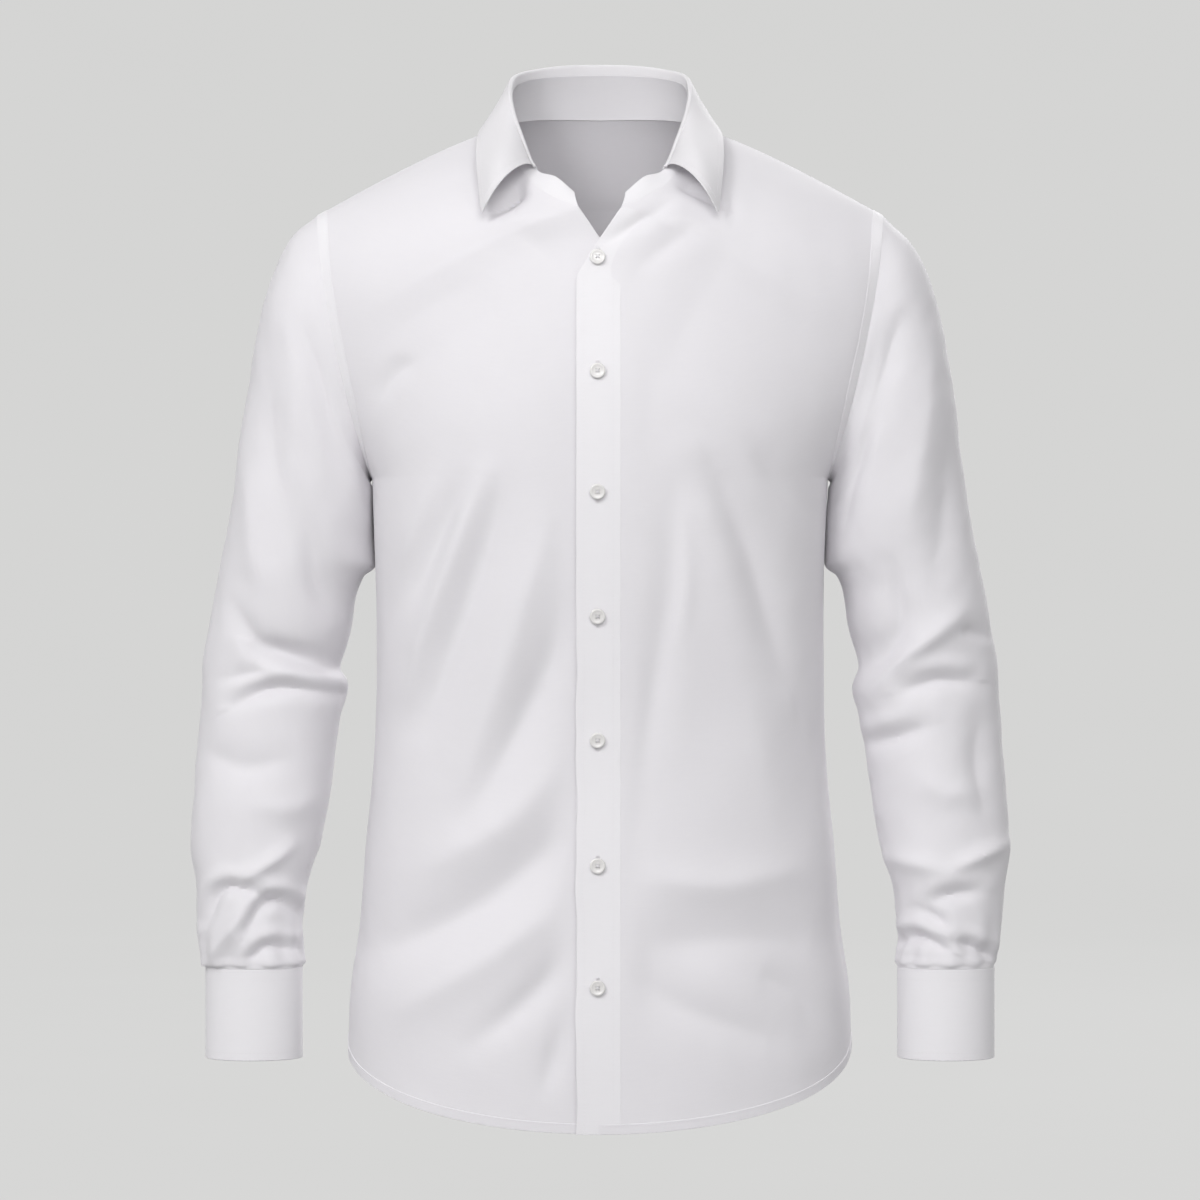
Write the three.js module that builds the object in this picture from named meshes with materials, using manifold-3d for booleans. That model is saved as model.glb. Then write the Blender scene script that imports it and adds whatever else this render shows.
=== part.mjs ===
// A long sleeve dress shirt, held open in its worn shape and empty inside.
// Sizes are in millimetres. X points to the wearer's left, Y to the back and Z up.
// The origin is midway between the shoulders, at the height of the side of the neck.
import * as THREE from 'three';
import { mergeVertices } from 'three/addons/utils/BufferGeometryUtils.js';
import Module from 'manifold-3d';

// Cloth and seams
const CLOTH = 1.2;
const STIFF_CLOTH = 1.8;
const SEAM_GAP = 0.3;
const SAME_POINT = 1e-4;
const POINTS_PER_MM = 1000;
const LEAST_LEAN = 0.6;
const HEM_HEIGHT = 7;
const HEM_STEP = 0.8;
const HEM_LIFT = 0.6;

// Lengths and heights of the body
const ARMPIT = -262;
const NECK_POINT = -87;
const PLACKET_TURN = -114;
const YOKE_SEAM = -48;
const HEM_SIDE = -691;
const HEM_FRONT = -749;
const HEM_BACK = -768;
const HEM_CURVE = 1.65;
const BACK_CURVE = 1.6;
const LEAST_END_TURN = 25;

// The front opening
const PLACKET_WIDTH = 32.6;
const LEFT_OVERLAP = 17.4;
const RIGHT_OVERLAP = 14;
const NECK_POINT_OVERLAP = 1;
const UNDERLAP_DEPTH = 2.8;
const UNDERLAP_FLAT = 24;
const UNDERLAP_END = 75;

// Buttons
const BUTTON_RADIUS = 5.8;
const BUTTON_THICKNESS = 2.6;
const BUTTON_DISH = 1.7;
const BUTTON_FACETS = 14;
const BUTTON_SEAT = 0.4;
const BUTTON_HOLES = 4;
const BUTTON_HOLE_RADIUS = 0.75;
const BUTTON_HOLE_SPREAD = 1.5;
const BUTTON_HOLE_LENGTH = 8;
const BUTTON_HOLE_FACETS = 6;
const BUTTON_ACROSS = -1.8;
const BUTTON_HEIGHTS = [-100, -185, -274, -366, -458, -551, -641];

// Cells of each panel
const FRONT_COLUMNS = 10;
const PLACKET_COLUMNS = 2;
const STRAIGHT_ROWS = 4;
const HEM_ROWS = 2;
const SIDE_ROWS = 12;
const BACK_YOKE_ROWS = 5;
const BACK_ARMHOLE_ROWS = 8;

// The armhole, in degrees round it from the underarm over the front
const SHOULDER_SEAM_ANGLE = 172;
const YOKE_SEAM_ANGLE = 228;
const ARMHOLE_BOW = 5;
const SHOULDER_CURVE = 1.2;

// How steeply the yoke leaves the shoulder seam and the back of the neck, in radians
const SHOULDER_START = -0.08;
const NECK_START = 1.1;
const NECK_SOFTEN = 2;
const YOKE_END_BACK = 0.35;
const YOKE_END_DOWN = 0.9;
const BOW_RINGS = 3;

// The cuff
const CUFF_TOP = -633;
const CUFF_BOTTOM = -701;
const CUFF_MIDDLE = 263;
const CUFF_MIDDLE_Y = -20;
const CUFF_HALF_WIDTH = 37;
const CUFF_HALF_DEPTH = 34;
const CUFF_ROWS = 3;
const CUFF_LAP_LIFT = 2.3;
const CUFF_LAP_ANGLE = 244.5;
const CUFF_LAP_COLUMNS = 2;
const CUFF_LAP_RAMP = 4;
const CUFF_BUTTON_ANGLE = 261;

const WHITE = { color: '#e9e7ea', roughness: 0.85, metalness: 0 };
const PEARL = { color: '#e4e2df', roughness: 0.3, metalness: 0 };

// Turns the rows of a table into objects with the named columns
function table(names, rows) {
  return rows.map((row) => Object.fromEntries(names.map((name, i) => [name, row[i]])));
}

// The body's sections, from the hem to the base of the neck
const TORSO = table(
  ['height', 'halfWidth', 'frontDepth', 'backDepth', 'squareness'],
  [
    [-770, 192.0, 119, 113, 2.3],
    [-690, 192.0, 119, 114, 2.3],
    [-650, 190.5, 118, 114, 2.3],
    [-600, 183.5, 115, 112, 2.3],
    [-540, 179.0, 112, 107, 2.25],
    [-490, 174.0, 110, 101, 2.25],
    [-440, 171.0, 111, 97, 2.25],
    [-390, 170.5, 115, 98, 2.3],
    [-330, 171.0, 121, 106, 2.35],
    [-262, 174.0, 126, 115, 2.4],
    [-200, 174.0, 126, 120, 2.4],
    [-150, 171.0, 120, 119, 2.4],
    [-110, 171.0, 112, 114, 2.4],
    [-80, 171.0, 105, 107, 2.4],
    [-40, 171.0, 99, 94, 2.4],
  ],
);

// The sleeve's rings from the armhole to the cuff, each from its underarm line to its outer line
const SLEEVE = table(
  ['ring', 'outerX', 'outerZ', 'innerX', 'innerZ', 'halfDepth', 'middleY'],
  [
    [0, 216.0, -60, 174.0, ARMPIT, 58.0, 0],
    [1, 237.0, -80, 179.0, -267, 58.5, 0],
    [2, 253.0, -112, 178.5, -279, 59.0, 1],
    [3, 263.5, -157, 175.8, -292, 59.5, 2],
    [4, 273.0, -213, 175.0, -307, 59.0, 4],
    [5, 282.5, -285, 177.0, -326, 57.5, 6],
    [6, 291.0, -330, 186.0, -347, 56.5, 8],
    [7, 299.5, -372, 190.5, -374, 56.0, 10],
    [8, 304.5, -400, 196.5, -399, 53.5, 11],
    [9, 305.5, -424, 193.5, -422, 53.5, 10],
    [10, 307.5, -452, 200.0, -450, 51.5, 7],
    [11, 310.0, -492, 205.5, -489, 49.5, 2],
    [12, 313.0, -540, 214.0, -540, 46.5, -5],
    [13, 308.0, -575, 223.5, -573, 43.5, -11],
    [14, 305.5, -603, 227.0, -602, 40.5, -15],
    [15, 302.5, -622, 226.0, -622, 37.0, -18],
    [16, 297.3, -631, 228.7, -631, 31.4, -20],
    [17, 297.3, -640, 228.7, -640, 31.4, -20],
  ],
);

// The collar's stations, from the front end of the stand to the middle of the back
const COLLAR = table(
  ['station', 'neckX', 'neckY', 'neckZ', 'topX', 'topY', 'topZ',
    'rollX', 'rollY', 'rollZ', 'edgeX', 'edgeY', 'edgeZ'],
  [
    [0, 16, -103, -62, 19, -91, -50, 19, -91, -46, 60, -110, -80],
    [1, 34, -94, -54, 33, -80, -37.5, 34, -81, -35, 80, -106, -76],
    [2, 51, -79, -42, 47.5, -66, -31, 49, -67, -27, 91, -99, -66],
    [3, 66, -54, -24, 58, -50, -9, 59, -50, -3, 93.5, -76, -38],
    [4, 75, -26, -6, 65.5, -29, 13, 66.5, -28, 20, 93, -41, -9],
    [5, 78, 2, 8, 68, -6, 30.5, 69, -5, 38.5, 90, -5, 6],
    [6, 72, 30, 13.5, 64, 20, 43, 65, 21, 51, 84, 31, 8],
    [7, 51, 53, 18.5, 47.5, 42, 50, 48.5, 43, 58, 67, 63, 12],
    [8, 26, 64, 20, 25.5, 53.5, 53, 26, 54.5, 62, 34.5, 75, 14.5],
    [9, 0, 68, 20, 0, 57, 54, 0, 58, 63, 0, 79.5, 15],
    [10, -26, 64, 20, -25.5, 53.5, 53, -26, 54.5, 62, -34.5, 75, 14.5],
  ],
);
const FRONT_NECK_STATIONS = [0, 1, 2, 3, 4, 4.75];
const BACK_NECK_STATIONS = [4.75, 5.4, 6.1, 6.8, 7.5, 8.25, 9];
const LEAF_FRONT_STATION = 2;
const ROLL_RADIUS = 1.4;
const ROLL_ANGLES = [180, 120, 60, 0];
const LEAF_ROWS = 5;
const LEAF_BOW = 3;
const LEAF_RISE = 9;
const LEAF_RISE_POWER = 0.6;
const LEAF_RISE_END = 4.2;
const STAND_ROWS = 3;
const STAND_BOW = 1;

// The largest folds of the body as seen from the front, ridges out and troughs in
const FOLDS = table(
  ['fromX', 'fromZ', 'toX', 'toZ', 'halfWidth', 'depth'],
  [
    [-88, -262, -168, -415, 24, -3.5],
    [-62, -300, -128, -420, 22, 3.0],
    [-24, -478, -160, -600, 30, -4.5],
    [-34, -540, -166, -655, 24, 3.0],
    [-24, -585, -92, -662, 20, -3.0],
    [82, -255, 127, -345, 24, -4.0],
    [54, -340, 64, -490, 20, 2.5],
    [34, -601, 148, -601, 24, -3.5],
    [36, -640, 128, -674, 22, 3.0],
  ],
);
const FOLD_CENTRE_FADE = [24, 60];
const FOLD_SIDE_FADE = [150, 168];
const FOLD_TAPER = [0.15, 0.85];

// The sleeve's rings that its placket runs between
const SLEEVE_PLACKET_RINGS = [11, 15];

// A smooth curve through one column of a table
function curve(rows, key, name) {
  const xs = rows.map((row) => row[key]);
  const ys = rows.map((row) => row[name]);
  const last = xs.length - 1;
  const slope = (i, j) => (ys[j] - ys[i]) / (xs[j] - xs[i]);
  const slopes = xs.map((_, i) => slope(Math.max(i - 1, 0), Math.min(i + 1, last)));
  return (x) => {
    let i = 0;
    while (i < last - 1 && x > xs[i + 1]) i += 1;
    const span = xs[i + 1] - xs[i];
    const t = THREE.MathUtils.clamp((x - xs[i]) / span, 0, 1);
    const a = ys[i] * (1 + 2 * t) * (1 - t) ** 2 + slopes[i] * span * t * (1 - t) ** 2;
    const b = ys[i + 1] * t * t * (3 - 2 * t) + slopes[i + 1] * span * t * t * (t - 1);
    return a + b;
  };
}

const point = (x, y, z) => new THREE.Vector3(x, y, z);
const mix = THREE.MathUtils.lerp;
const ease = THREE.MathUtils.smoothstep;
const radians = THREE.MathUtils.degToRad;

const halfWidthAt = curve(TORSO, 'height', 'halfWidth');
const frontDepthAt = curve(TORSO, 'height', 'frontDepth');
const backDepthAt = curve(TORSO, 'height', 'backDepth');
const squarenessAt = curve(TORSO, 'height', 'squareness');

const ringCurves = Object.fromEntries(
  ['outerX', 'outerZ', 'innerX', 'innerZ', 'halfDepth', 'middleY'].map((name) => [
    name,
    curve(SLEEVE, 'ring', name),
  ]),
);
const collarPoint = (station, part) => {
  const at = (axis) => curve(COLLAR, 'station', part + axis)(station);
  return point(at('X'), at('Y'), at('Z'));
};

// A point of the sleeve on the wearer's left, at a ring and an angle in degrees
function sleevePoint(ring, angle) {
  const at = (name) => ringCurves[name](ring);
  const turn = radians(angle);
  const along = -Math.cos(turn);
  const bow = ARMHOLE_BOW * Math.sin(turn) ** 2 * (1 - ease(ring, 0, BOW_RINGS));
  return point(
    (at('outerX') + at('innerX')) / 2 + (along * (at('outerX') - at('innerX'))) / 2 + bow,
    at('middleY') - at('halfDepth') * Math.sin(turn),
    (at('outerZ') + at('innerZ')) / 2 + (along * (at('outerZ') - at('innerZ'))) / 2,
  );
}
const armholePoint = (angle) => sleevePoint(0, angle);

// Superellipse shares of the way out and of the way back, at an angle from the middle
const outShare = (turn, squareness) => Math.sin(turn) ** (2 / squareness);
const backShare = (turn, squareness) => 1 - Math.max(Math.cos(turn), 0) ** (2 / squareness);

// One row of a panel, from its inner edge to its side seam or armhole, in its own side
function panelPoint(row, column, columns, bandColumns) {
  const { inner, outer, middleY, squareness } = row;
  const start = Math.max(inner.x, 0);
  const ratio = Math.min(Math.abs(outer.y / middleY), 1);
  const endTurn = Math.max(Math.acos(ratio ** (squareness / 2)), radians(LEAST_END_TURN));
  const endShare = outShare(endTurn, squareness);
  const turnAt = (x) => {
    const share = Math.max((x - start) / (outer.x - start), 0);
    return Math.asin(Math.min((share * endShare) ** (squareness / 2), 1));
  };
  const bandTurn = bandColumns ? turnAt(inner.x + PLACKET_WIDTH) : 0;
  let x = inner.x + (PLACKET_WIDTH * column) / (bandColumns || 1);
  let turn = turnAt(x);
  if (column > bandColumns || !bandColumns) {
    turn = mix(bandTurn, endTurn, (column - bandColumns) / (columns - bandColumns));
    x = start + ((outer.x - start) * outShare(turn, squareness)) / endShare;
  }
  const y = mix(middleY, outer.y, backShare(turn, squareness) / backShare(endTurn, squareness));
  const bandEdge = inner.x + (bandColumns && inner.x < 0 ? PLACKET_WIDTH : 0);
  const share = Math.max(x - bandEdge, 0) / (outer.x - bandEdge);
  return { x, y, share, turnShare: turn / (Math.PI / 2) };
}

// Heights of the rows between the hem and the armpit, over the hem's own curve
function sideHeight(row, hem) {
  const bandTop = hem + HEM_HEIGHT + HEM_STEP;
  if (row < HEM_ROWS) return hem + HEM_HEIGHT * row;
  return mix(bandTop, ARMPIT, (row - HEM_ROWS) / (SIDE_ROWS - HEM_ROWS));
}

// A row below the armpit follows the hem's curve less and less
function sidePoint(rowIndex, column, { columns, bandColumns, overlap, front }) {
  const depthAt = front ? frontDepthAt : backDepthAt;
  const sign = front ? -1 : 1;
  const middleHem = front ? HEM_FRONT : HEM_BACK;
  const rowAt = (z) => ({
    inner: point(-overlap, sign * depthAt(z), z),
    outer: point(halfWidthAt(z), 0, z),
    middleY: sign * depthAt(z),
    squareness: squarenessAt(z),
  });
  const first = panelPoint(rowAt(HEM_FRONT), column, columns, bandColumns);
  const hem = mix(middleHem, HEM_SIDE, first.turnShare ** HEM_CURVE);
  const z = sideHeight(rowIndex, hem);
  const { x, y } = panelPoint(rowAt(z), column, columns, bandColumns);
  return point(x, y, z);
}

// The rows of a front above the armpit, up the opening, round the neck and up the armhole
function upperFrontRows(overlap) {
  const path = [];
  for (let i = 1; i <= STRAIGHT_ROWS; i += 1) {
    const z = mix(ARMPIT, PLACKET_TURN, i / STRAIGHT_ROWS);
    path.push(point(-overlap, -frontDepthAt(z), z));
  }
  path.push(point(-NECK_POINT_OVERLAP, -frontDepthAt(NECK_POINT), NECK_POINT));
  FRONT_NECK_STATIONS.forEach((station) => path.push(collarPoint(station, 'neck')));
  return path.map((inner, i) => ({
    inner,
    outer: armholePoint((SHOULDER_SEAM_ANGLE * (i + 1)) / path.length),
    middleY: inner.y,
    squareness: squarenessAt(inner.z),
  }));
}
const FRONT_ARMHOLE_ROWS = upperFrontRows(0).length;
const PLACKET_ROWS = SIDE_ROWS + FRONT_ARMHOLE_ROWS - FRONT_NECK_STATIONS.length + 1;

// How far the folds move the cloth of the body out at a place seen from the front
function foldLift(p) {
  const side = Math.abs(p.x);
  const fade = ease(side, ...FOLD_CENTRE_FADE) * (1 - ease(side, ...FOLD_SIDE_FADE));
  return FOLDS.reduce((sum, fold) => {
    const from = new THREE.Vector2(fold.fromX, fold.fromZ);
    const to = new THREE.Vector2(fold.toX, fold.toZ).sub(from);
    const at = new THREE.Vector2(p.x, p.z).sub(from);
    const along = THREE.MathUtils.clamp(at.dot(to) / to.lengthSq(), 0, 1);
    const off = at.sub(to.multiplyScalar(along)).length() / fold.halfWidth;
    const taper = Math.sin(Math.PI * mix(...FOLD_TAPER, along));
    return sum + fold.depth * fade * taper * Math.exp(-off * off);
  }, 0);
}

// A front in its own side, its grid running up from the hem
function frontGrid(overlap, side) {
  const grid = [];
  const cut = { columns: FRONT_COLUMNS, bandColumns: PLACKET_COLUMNS, overlap, front: true };
  for (let i = 0; i <= SIDE_ROWS; i += 1) {
    const row = [];
    for (let j = 0; j <= FRONT_COLUMNS; j += 1) {
      row.push(sidePoint(i, j, cut));
    }
    grid.push(row);
  }
  upperFrontRows(overlap).forEach((upper) => {
    const row = [];
    for (let j = 0; j < FRONT_COLUMNS; j += 1) {
      const { x, y, share } = panelPoint(upper, j, FRONT_COLUMNS, PLACKET_COLUMNS);
      row.push(point(x, y, mix(upper.inner.z, upper.outer.z, share ** SHOULDER_CURVE)));
    }
    row.push(upper.outer.clone());
    grid.push(row);
  });
  const under = side < 0 ? UNDERLAP_DEPTH : 0;
  grid.forEach((row, i) => row.forEach((p) => {
    const above = ease(i, PLACKET_ROWS - 1, PLACKET_ROWS);
    p.y += under * (1 - ease(p.x, UNDERLAP_FLAT, UNDERLAP_END)) * (1 - above);
    p.x *= side;
    p.y -= foldLift(p);
  }));
  return grid;
}

// The back's rows above the armpit, from the armpit to the yoke seam, in one side
function upperBackRow(i) {
  const share = i / BACK_ARMHOLE_ROWS;
  const z = mix(ARMPIT, YOKE_SEAM, share);
  return {
    inner: point(0, backDepthAt(z), z),
    outer: armholePoint(mix(360, YOKE_SEAM_ANGLE, share)),
    middleY: backDepthAt(z),
    squareness: squarenessAt(z),
  };
}
const BACK_NECK_COLUMNS = BACK_NECK_STATIONS.length - 1;
const BACK_COLUMNS = BACK_NECK_COLUMNS + FRONT_COLUMNS;

function halfBackGrid() {
  const grid = [];
  const cut = { columns: BACK_COLUMNS, bandColumns: 0, overlap: 0, front: false };
  for (let i = 0; i <= SIDE_ROWS; i += 1) {
    const row = [];
    for (let j = 0; j <= BACK_COLUMNS; j += 1) {
      row.push(sidePoint(i, j, cut));
    }
    grid.push(row);
  }
  for (let i = 1; i <= BACK_ARMHOLE_ROWS; i += 1) {
    const upper = upperBackRow(i);
    const row = [];
    for (let j = 0; j < BACK_COLUMNS; j += 1) {
      const { x, y, share } = panelPoint(upper, j, BACK_COLUMNS, 0);
      row.push(point(x, y, mix(upper.inner.z, upper.outer.z, share ** BACK_CURVE)));
    }
    row.push(upper.outer.clone());
    grid.push(row);
  }
  return grid;
}

// Both halves of a grid that starts at the middle, from the wearer's right to left
function bothHalves(grid) {
  return grid.map((row) => {
    const mirrored = row.slice(1).map((p) => point(-p.x, p.y, p.z)).reverse();
    return [...mirrored, ...row];
  });
}

// Half of the yoke, from the back of the neck and the shoulder seam down to the back seam
function halfYokeGrid(shoulderRow, backRow) {
  const neck = BACK_NECK_STATIONS.map((station) => collarPoint(station, 'neck')).reverse();
  const frontEdge = [...neck, ...shoulderRow.slice(1)];
  return Array.from({ length: BACK_YOKE_ROWS + 1 }, (_, i) => {
    const t = i / BACK_YOKE_ROWS;
    return frontEdge.map((from, j) => {
      const angle = mix(SHOULDER_SEAM_ANGLE, YOKE_SEAM_ANGLE, t);
      if (j === frontEdge.length - 1) return armholePoint(angle);
      const to = backRow[j];
      const run = from.distanceTo(to);
      const neckShare = 1 - ease(j, 0, BACK_NECK_COLUMNS + NECK_SOFTEN);
      const slope = mix(SHOULDER_START, NECK_START, neckShare);
      const start = point(to.x - from.x, run * Math.cos(slope), -run * Math.sin(slope));
      const end = point(to.x - from.x, run * YOKE_END_BACK, -run * YOKE_END_DOWN);
      return hermite({ from, start, to, end }, t);
    });
  });
}

// A point of the smooth run that leaves one place along start and reaches another along end
function hermite({ from, start, to, end }, t) {
  return point(0, 0, 0)
    .addScaledVector(from, (1 + 2 * t) * (1 - t) ** 2)
    .addScaledVector(start, t * (1 - t) ** 2)
    .addScaledVector(to, t * t * (3 - 2 * t))
    .addScaledVector(end, t * t * (t - 1));
}

// The angles of the sleeve's columns match the rows of the panels round the armhole
const sleeveAngles = [
  ...Array.from({ length: FRONT_ARMHOLE_ROWS }, (_, i) => (
    (SHOULDER_SEAM_ANGLE * i) / FRONT_ARMHOLE_ROWS)),
  ...Array.from({ length: BACK_YOKE_ROWS }, (_, i) => (
    mix(SHOULDER_SEAM_ANGLE, YOKE_SEAM_ANGLE, i / BACK_YOKE_ROWS))),
  ...Array.from({ length: BACK_ARMHOLE_ROWS }, (_, i) => (
    mix(YOKE_SEAM_ANGLE, 360, i / BACK_ARMHOLE_ROWS))),
];

function sleeveGrid() {
  return SLEEVE.map(({ ring }) => sleeveAngles.map((angle) => sleevePoint(ring, angle)));
}

// The sleeve's column at the front end of the cuff's lap
const lapColumn = sleeveAngles.indexOf(CUFF_LAP_ANGLE);

// The collar's stations on one side, from the front end to the middle of the back
const collarStations = [...FRONT_NECK_STATIONS.slice(0, -1), ...BACK_NECK_STATIONS];

// The level direction away from the neck at a station
function outOfNeck(station) {
  const step = 0.05;
  const run = collarPoint(station + step, 'neck').sub(collarPoint(station - step, 'neck'));
  return point(run.y, -run.x, 0).normalize();
}

function halfStandGrid() {
  const stations = [...collarStations].reverse();
  return Array.from({ length: STAND_ROWS + 1 }, (_, i) => stations.map((station) => {
    const t = i / STAND_ROWS;
    const bow = STAND_BOW * 4 * t * (1 - t);
    const p = collarPoint(station, 'neck').lerp(collarPoint(station, 'top'), t);
    return p.addScaledVector(outOfNeck(station), bow);
  }));
}

// The underside of the collar leaf, up from the stand, round the roll and out to its edge
function halfFallGrid() {
  const stations = collarStations.filter((s) => s >= LEAF_FRONT_STATION).reverse();
  const columns = stations.map((station) => {
    const out = outOfNeck(station);
    const centre = collarPoint(station, 'roll');
    centre.z -= ROLL_RADIUS + STIFF_CLOTH;
    const rolled = ROLL_ANGLES.map((degrees) => centre.clone()
      .addScaledVector(out, ROLL_RADIUS * Math.cos(radians(degrees)))
      .addScaledVector(point(0, 0, 1), ROLL_RADIUS * Math.sin(radians(degrees))));
    const edge = collarPoint(station, 'edge');
    const start = rolled[rolled.length - 1];
    const leaf = Array.from({ length: LEAF_ROWS }, (_, i) => {
      const t = (i + 1) / LEAF_ROWS;
      const front = 1 - ease(station, LEAF_FRONT_STATION, LEAF_RISE_END);
      const p = start.clone().lerp(edge, t);
      p.addScaledVector(out, LEAF_BOW * front * Math.sin(Math.PI * t));
      p.z += LEAF_RISE * front * Math.sin(Math.PI * t ** LEAF_RISE_POWER);
      return p;
    });
    return [collarPoint(station, 'top'), ...rolled, ...leaf];
  });
  return columns[0].map((_, i) => columns.map((column) => column[i]));
}

// The cuff is a band round the sleeve's end whose ends lap at the back
function cuffGrid() {
  const count = sleeveAngles.length + CUFF_LAP_COLUMNS;
  const lapStart = count - CUFF_LAP_COLUMNS;
  return Array.from({ length: CUFF_ROWS + 1 }, (_, i) => (
    Array.from({ length: count + 1 }, (__, j) => {
      const turn = radians(sleeveAngles[(lapColumn + j) % sleeveAngles.length]);
      const lift = CUFF_LAP_LIFT * ease(j, lapStart - CUFF_LAP_RAMP, lapStart);
      return point(
        CUFF_MIDDLE - (CUFF_HALF_WIDTH + lift) * Math.cos(turn),
        CUFF_MIDDLE_Y - (CUFF_HALF_DEPTH + lift) * Math.sin(turn),
        mix(CUFF_BOTTOM, CUFF_TOP, i / CUFF_ROWS),
      );
    })
  ));
}

// A cloth surface: its grid, the way it faces and how thick it is
class Cloth {
  constructor(name, grid, options) {
    const usual = { flip: false, closed: false, thickness: CLOTH, lift: () => 0, underarmRow: -1 };
    Object.assign(this, usual, options, { name, grid });
    this.rows = grid.length;
    this.columns = grid[0].length;
    this.normals = grid.map((row, i) => row.map((_, j) => this.normalAt(i, j)));
    this.shifts = grid.map((row) => row.map(() => point(0, 0, 0)));
    this.mitres = grid.map((row) => row.map(() => 1));
  }

  at(i, j) {
    const row = THREE.MathUtils.clamp(i, 0, this.rows - 1);
    const last = this.columns - 1;
    const column = this.closed ? (j + this.columns) % this.columns : Math.min(Math.max(j, 0), last);
    return this.grid[row][column];
  }

  normalAt(i, j) {
    const across = this.at(i, j + 1).clone().sub(this.at(i, j - 1));
    const up = this.at(i + 1, j).clone().sub(this.at(i - 1, j));
    return across.cross(up).normalize().multiplyScalar(this.flip ? -1 : 1);
  }

  // The free or sewn sides of one vertex, each with its run and the way into the cloth
  edgesOf(i, j) {
    const edges = [];
    const add = (run, inward) => edges.push({
      run: run.normalize(),
      inward: inward.normalize(),
    });
    const here = this.at(i, j);
    const acrossRun = this.at(i, j + 1).clone().sub(this.at(i, j - 1));
    const upRun = this.at(i + 1, j).clone().sub(this.at(i - 1, j));
    if (i === 0) add(acrossRun.clone(), this.at(1, j).clone().sub(here));
    if (i === this.rows - 1) add(acrossRun.clone(), this.at(i - 1, j).clone().sub(here));
    const last = this.columns - 1;
    if (this.closed || (j > 0 && j < last)) return edges;
    const beside = j === 0 ? 1 : last - 1;
    add(upRun.clone(), this.at(i, beside).clone().sub(here));
    if (i === this.underarmRow) {
      edges[0].run = here.clone().sub(this.at(i - 1, j)).normalize();
      add(this.at(i + 1, j).clone().sub(here), this.at(i - 1, beside).clone().sub(here));
    }
    return edges;
  }

  // The wall between the cloth's two faces, as one closed mesh
  geometry() {
    const positions = [];
    const push = (p) => positions.push(p.x, p.y, p.z);
    const faces = [0, 1].map((inner) => this.grid.map((row, i) => row.map((p, j) => {
      const lift = this.lift(i, j);
      const away = inner ? lift - this.thickness * this.mitres[i][j] : lift;
      return p.clone().add(this.shifts[i][j]).addScaledVector(this.normals[i][j], away);
    })));
    const quad = (a, b, c, d) => [a, b, c, a, c, d].forEach(push);
    const cells = this.closed ? this.columns : this.columns - 1;
    const next = (j) => (j + 1) % this.columns;
    const [outer, inner] = faces;
    for (let i = 0; i < this.rows - 1; i += 1) {
      for (let j = 0; j < cells; j += 1) {
        const k = next(j);
        quad(outer[i][j], outer[i][k], outer[i + 1][k], outer[i + 1][j]);
        quad(inner[i][j], inner[i + 1][j], inner[i + 1][k], inner[i][k]);
      }
      if (!this.closed) {
        const last = this.columns - 1;
        quad(outer[i][0], outer[i + 1][0], inner[i + 1][0], inner[i][0]);
        quad(outer[i][last], inner[i][last], inner[i + 1][last], outer[i + 1][last]);
      }
    }
    const top = this.rows - 1;
    for (let j = 0; j < cells; j += 1) {
      const k = next(j);
      quad(outer[0][j], inner[0][j], inner[0][k], outer[0][k]);
      quad(outer[top][j], outer[top][k], inner[top][k], inner[top][j]);
    }
    const geometry = new THREE.BufferGeometry();
    geometry.setAttribute('position', new THREE.Float32BufferAttribute(positions, 3));
    const merged = mergeVertices(geometry, SAME_POINT);
    if (this.flip) {
      const index = merged.getIndex();
      for (let i = 0; i < index.count; i += 3) {
        const held = index.getX(i);
        index.setX(i, index.getX(i + 1));
        index.setX(i + 1, held);
      }
    }
    return merged;
  }
}

// Gives the cloths that share a seam one mitre there and parts them by the seam gap
function sewTogether(cloths) {
  const places = new Map();
  const whole = (value) => Math.round(value * POINTS_PER_MM) + 0;
  const keyOf = (p) => p.toArray().map(whole).join();
  const visit = (action) => cloths.forEach((cloth) => cloth.grid.forEach((row, i) => (
    row.forEach((p, j) => {
      const edges = cloth.edgesOf(i, j);
      if (edges.length) action(cloth, i, j, edges, keyOf(p));
    }))));
  visit((cloth, i, j, edges, key) => {
    if (!places.has(key)) places.set(key, { normals: [], inwards: [] });
    const place = places.get(key);
    place.normals.push(cloth.normals[i][j].clone().divideScalar(edges.length));
    const inward = point(0, 0, 0);
    edges.forEach((edge) => inward.add(edge.inward));
    place.inwards.push(inward.normalize());
  });
  visit((cloth, i, j, edges, key) => {
    const { normals, inwards } = places.get(key);
    if (normals.length < 2) return;
    const normal = normals.reduce((sum, n) => sum.add(n), point(0, 0, 0)).normalize();
    const lean = cloth.normals[i][j].dot(normal);
    const others = inwards.reduce((sum, n) => sum.add(n), point(0, 0, 0));
    others.divideScalar(inwards.length);
    edges.forEach(({ run, inward }) => {
      const apart = run.clone().cross(normal).normalize();
      const side = Math.sign(apart.dot(inward.clone().sub(others))) || 1;
      cloth.shifts[i][j].addScaledVector(apart, (side * SEAM_GAP) / 2);
    });
    cloth.normals[i][j] = normal;
    cloth.mitres[i][j] = 1 / Math.max(lean, LEAST_LEAN);
  });
}

const mirrorGrid = (grid) => grid.map((row) => row.map((p) => point(-p.x, p.y, p.z)));
const body = { lift: (i) => (i < HEM_ROWS ? HEM_LIFT : 0), underarmRow: SIDE_ROWS };

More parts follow.
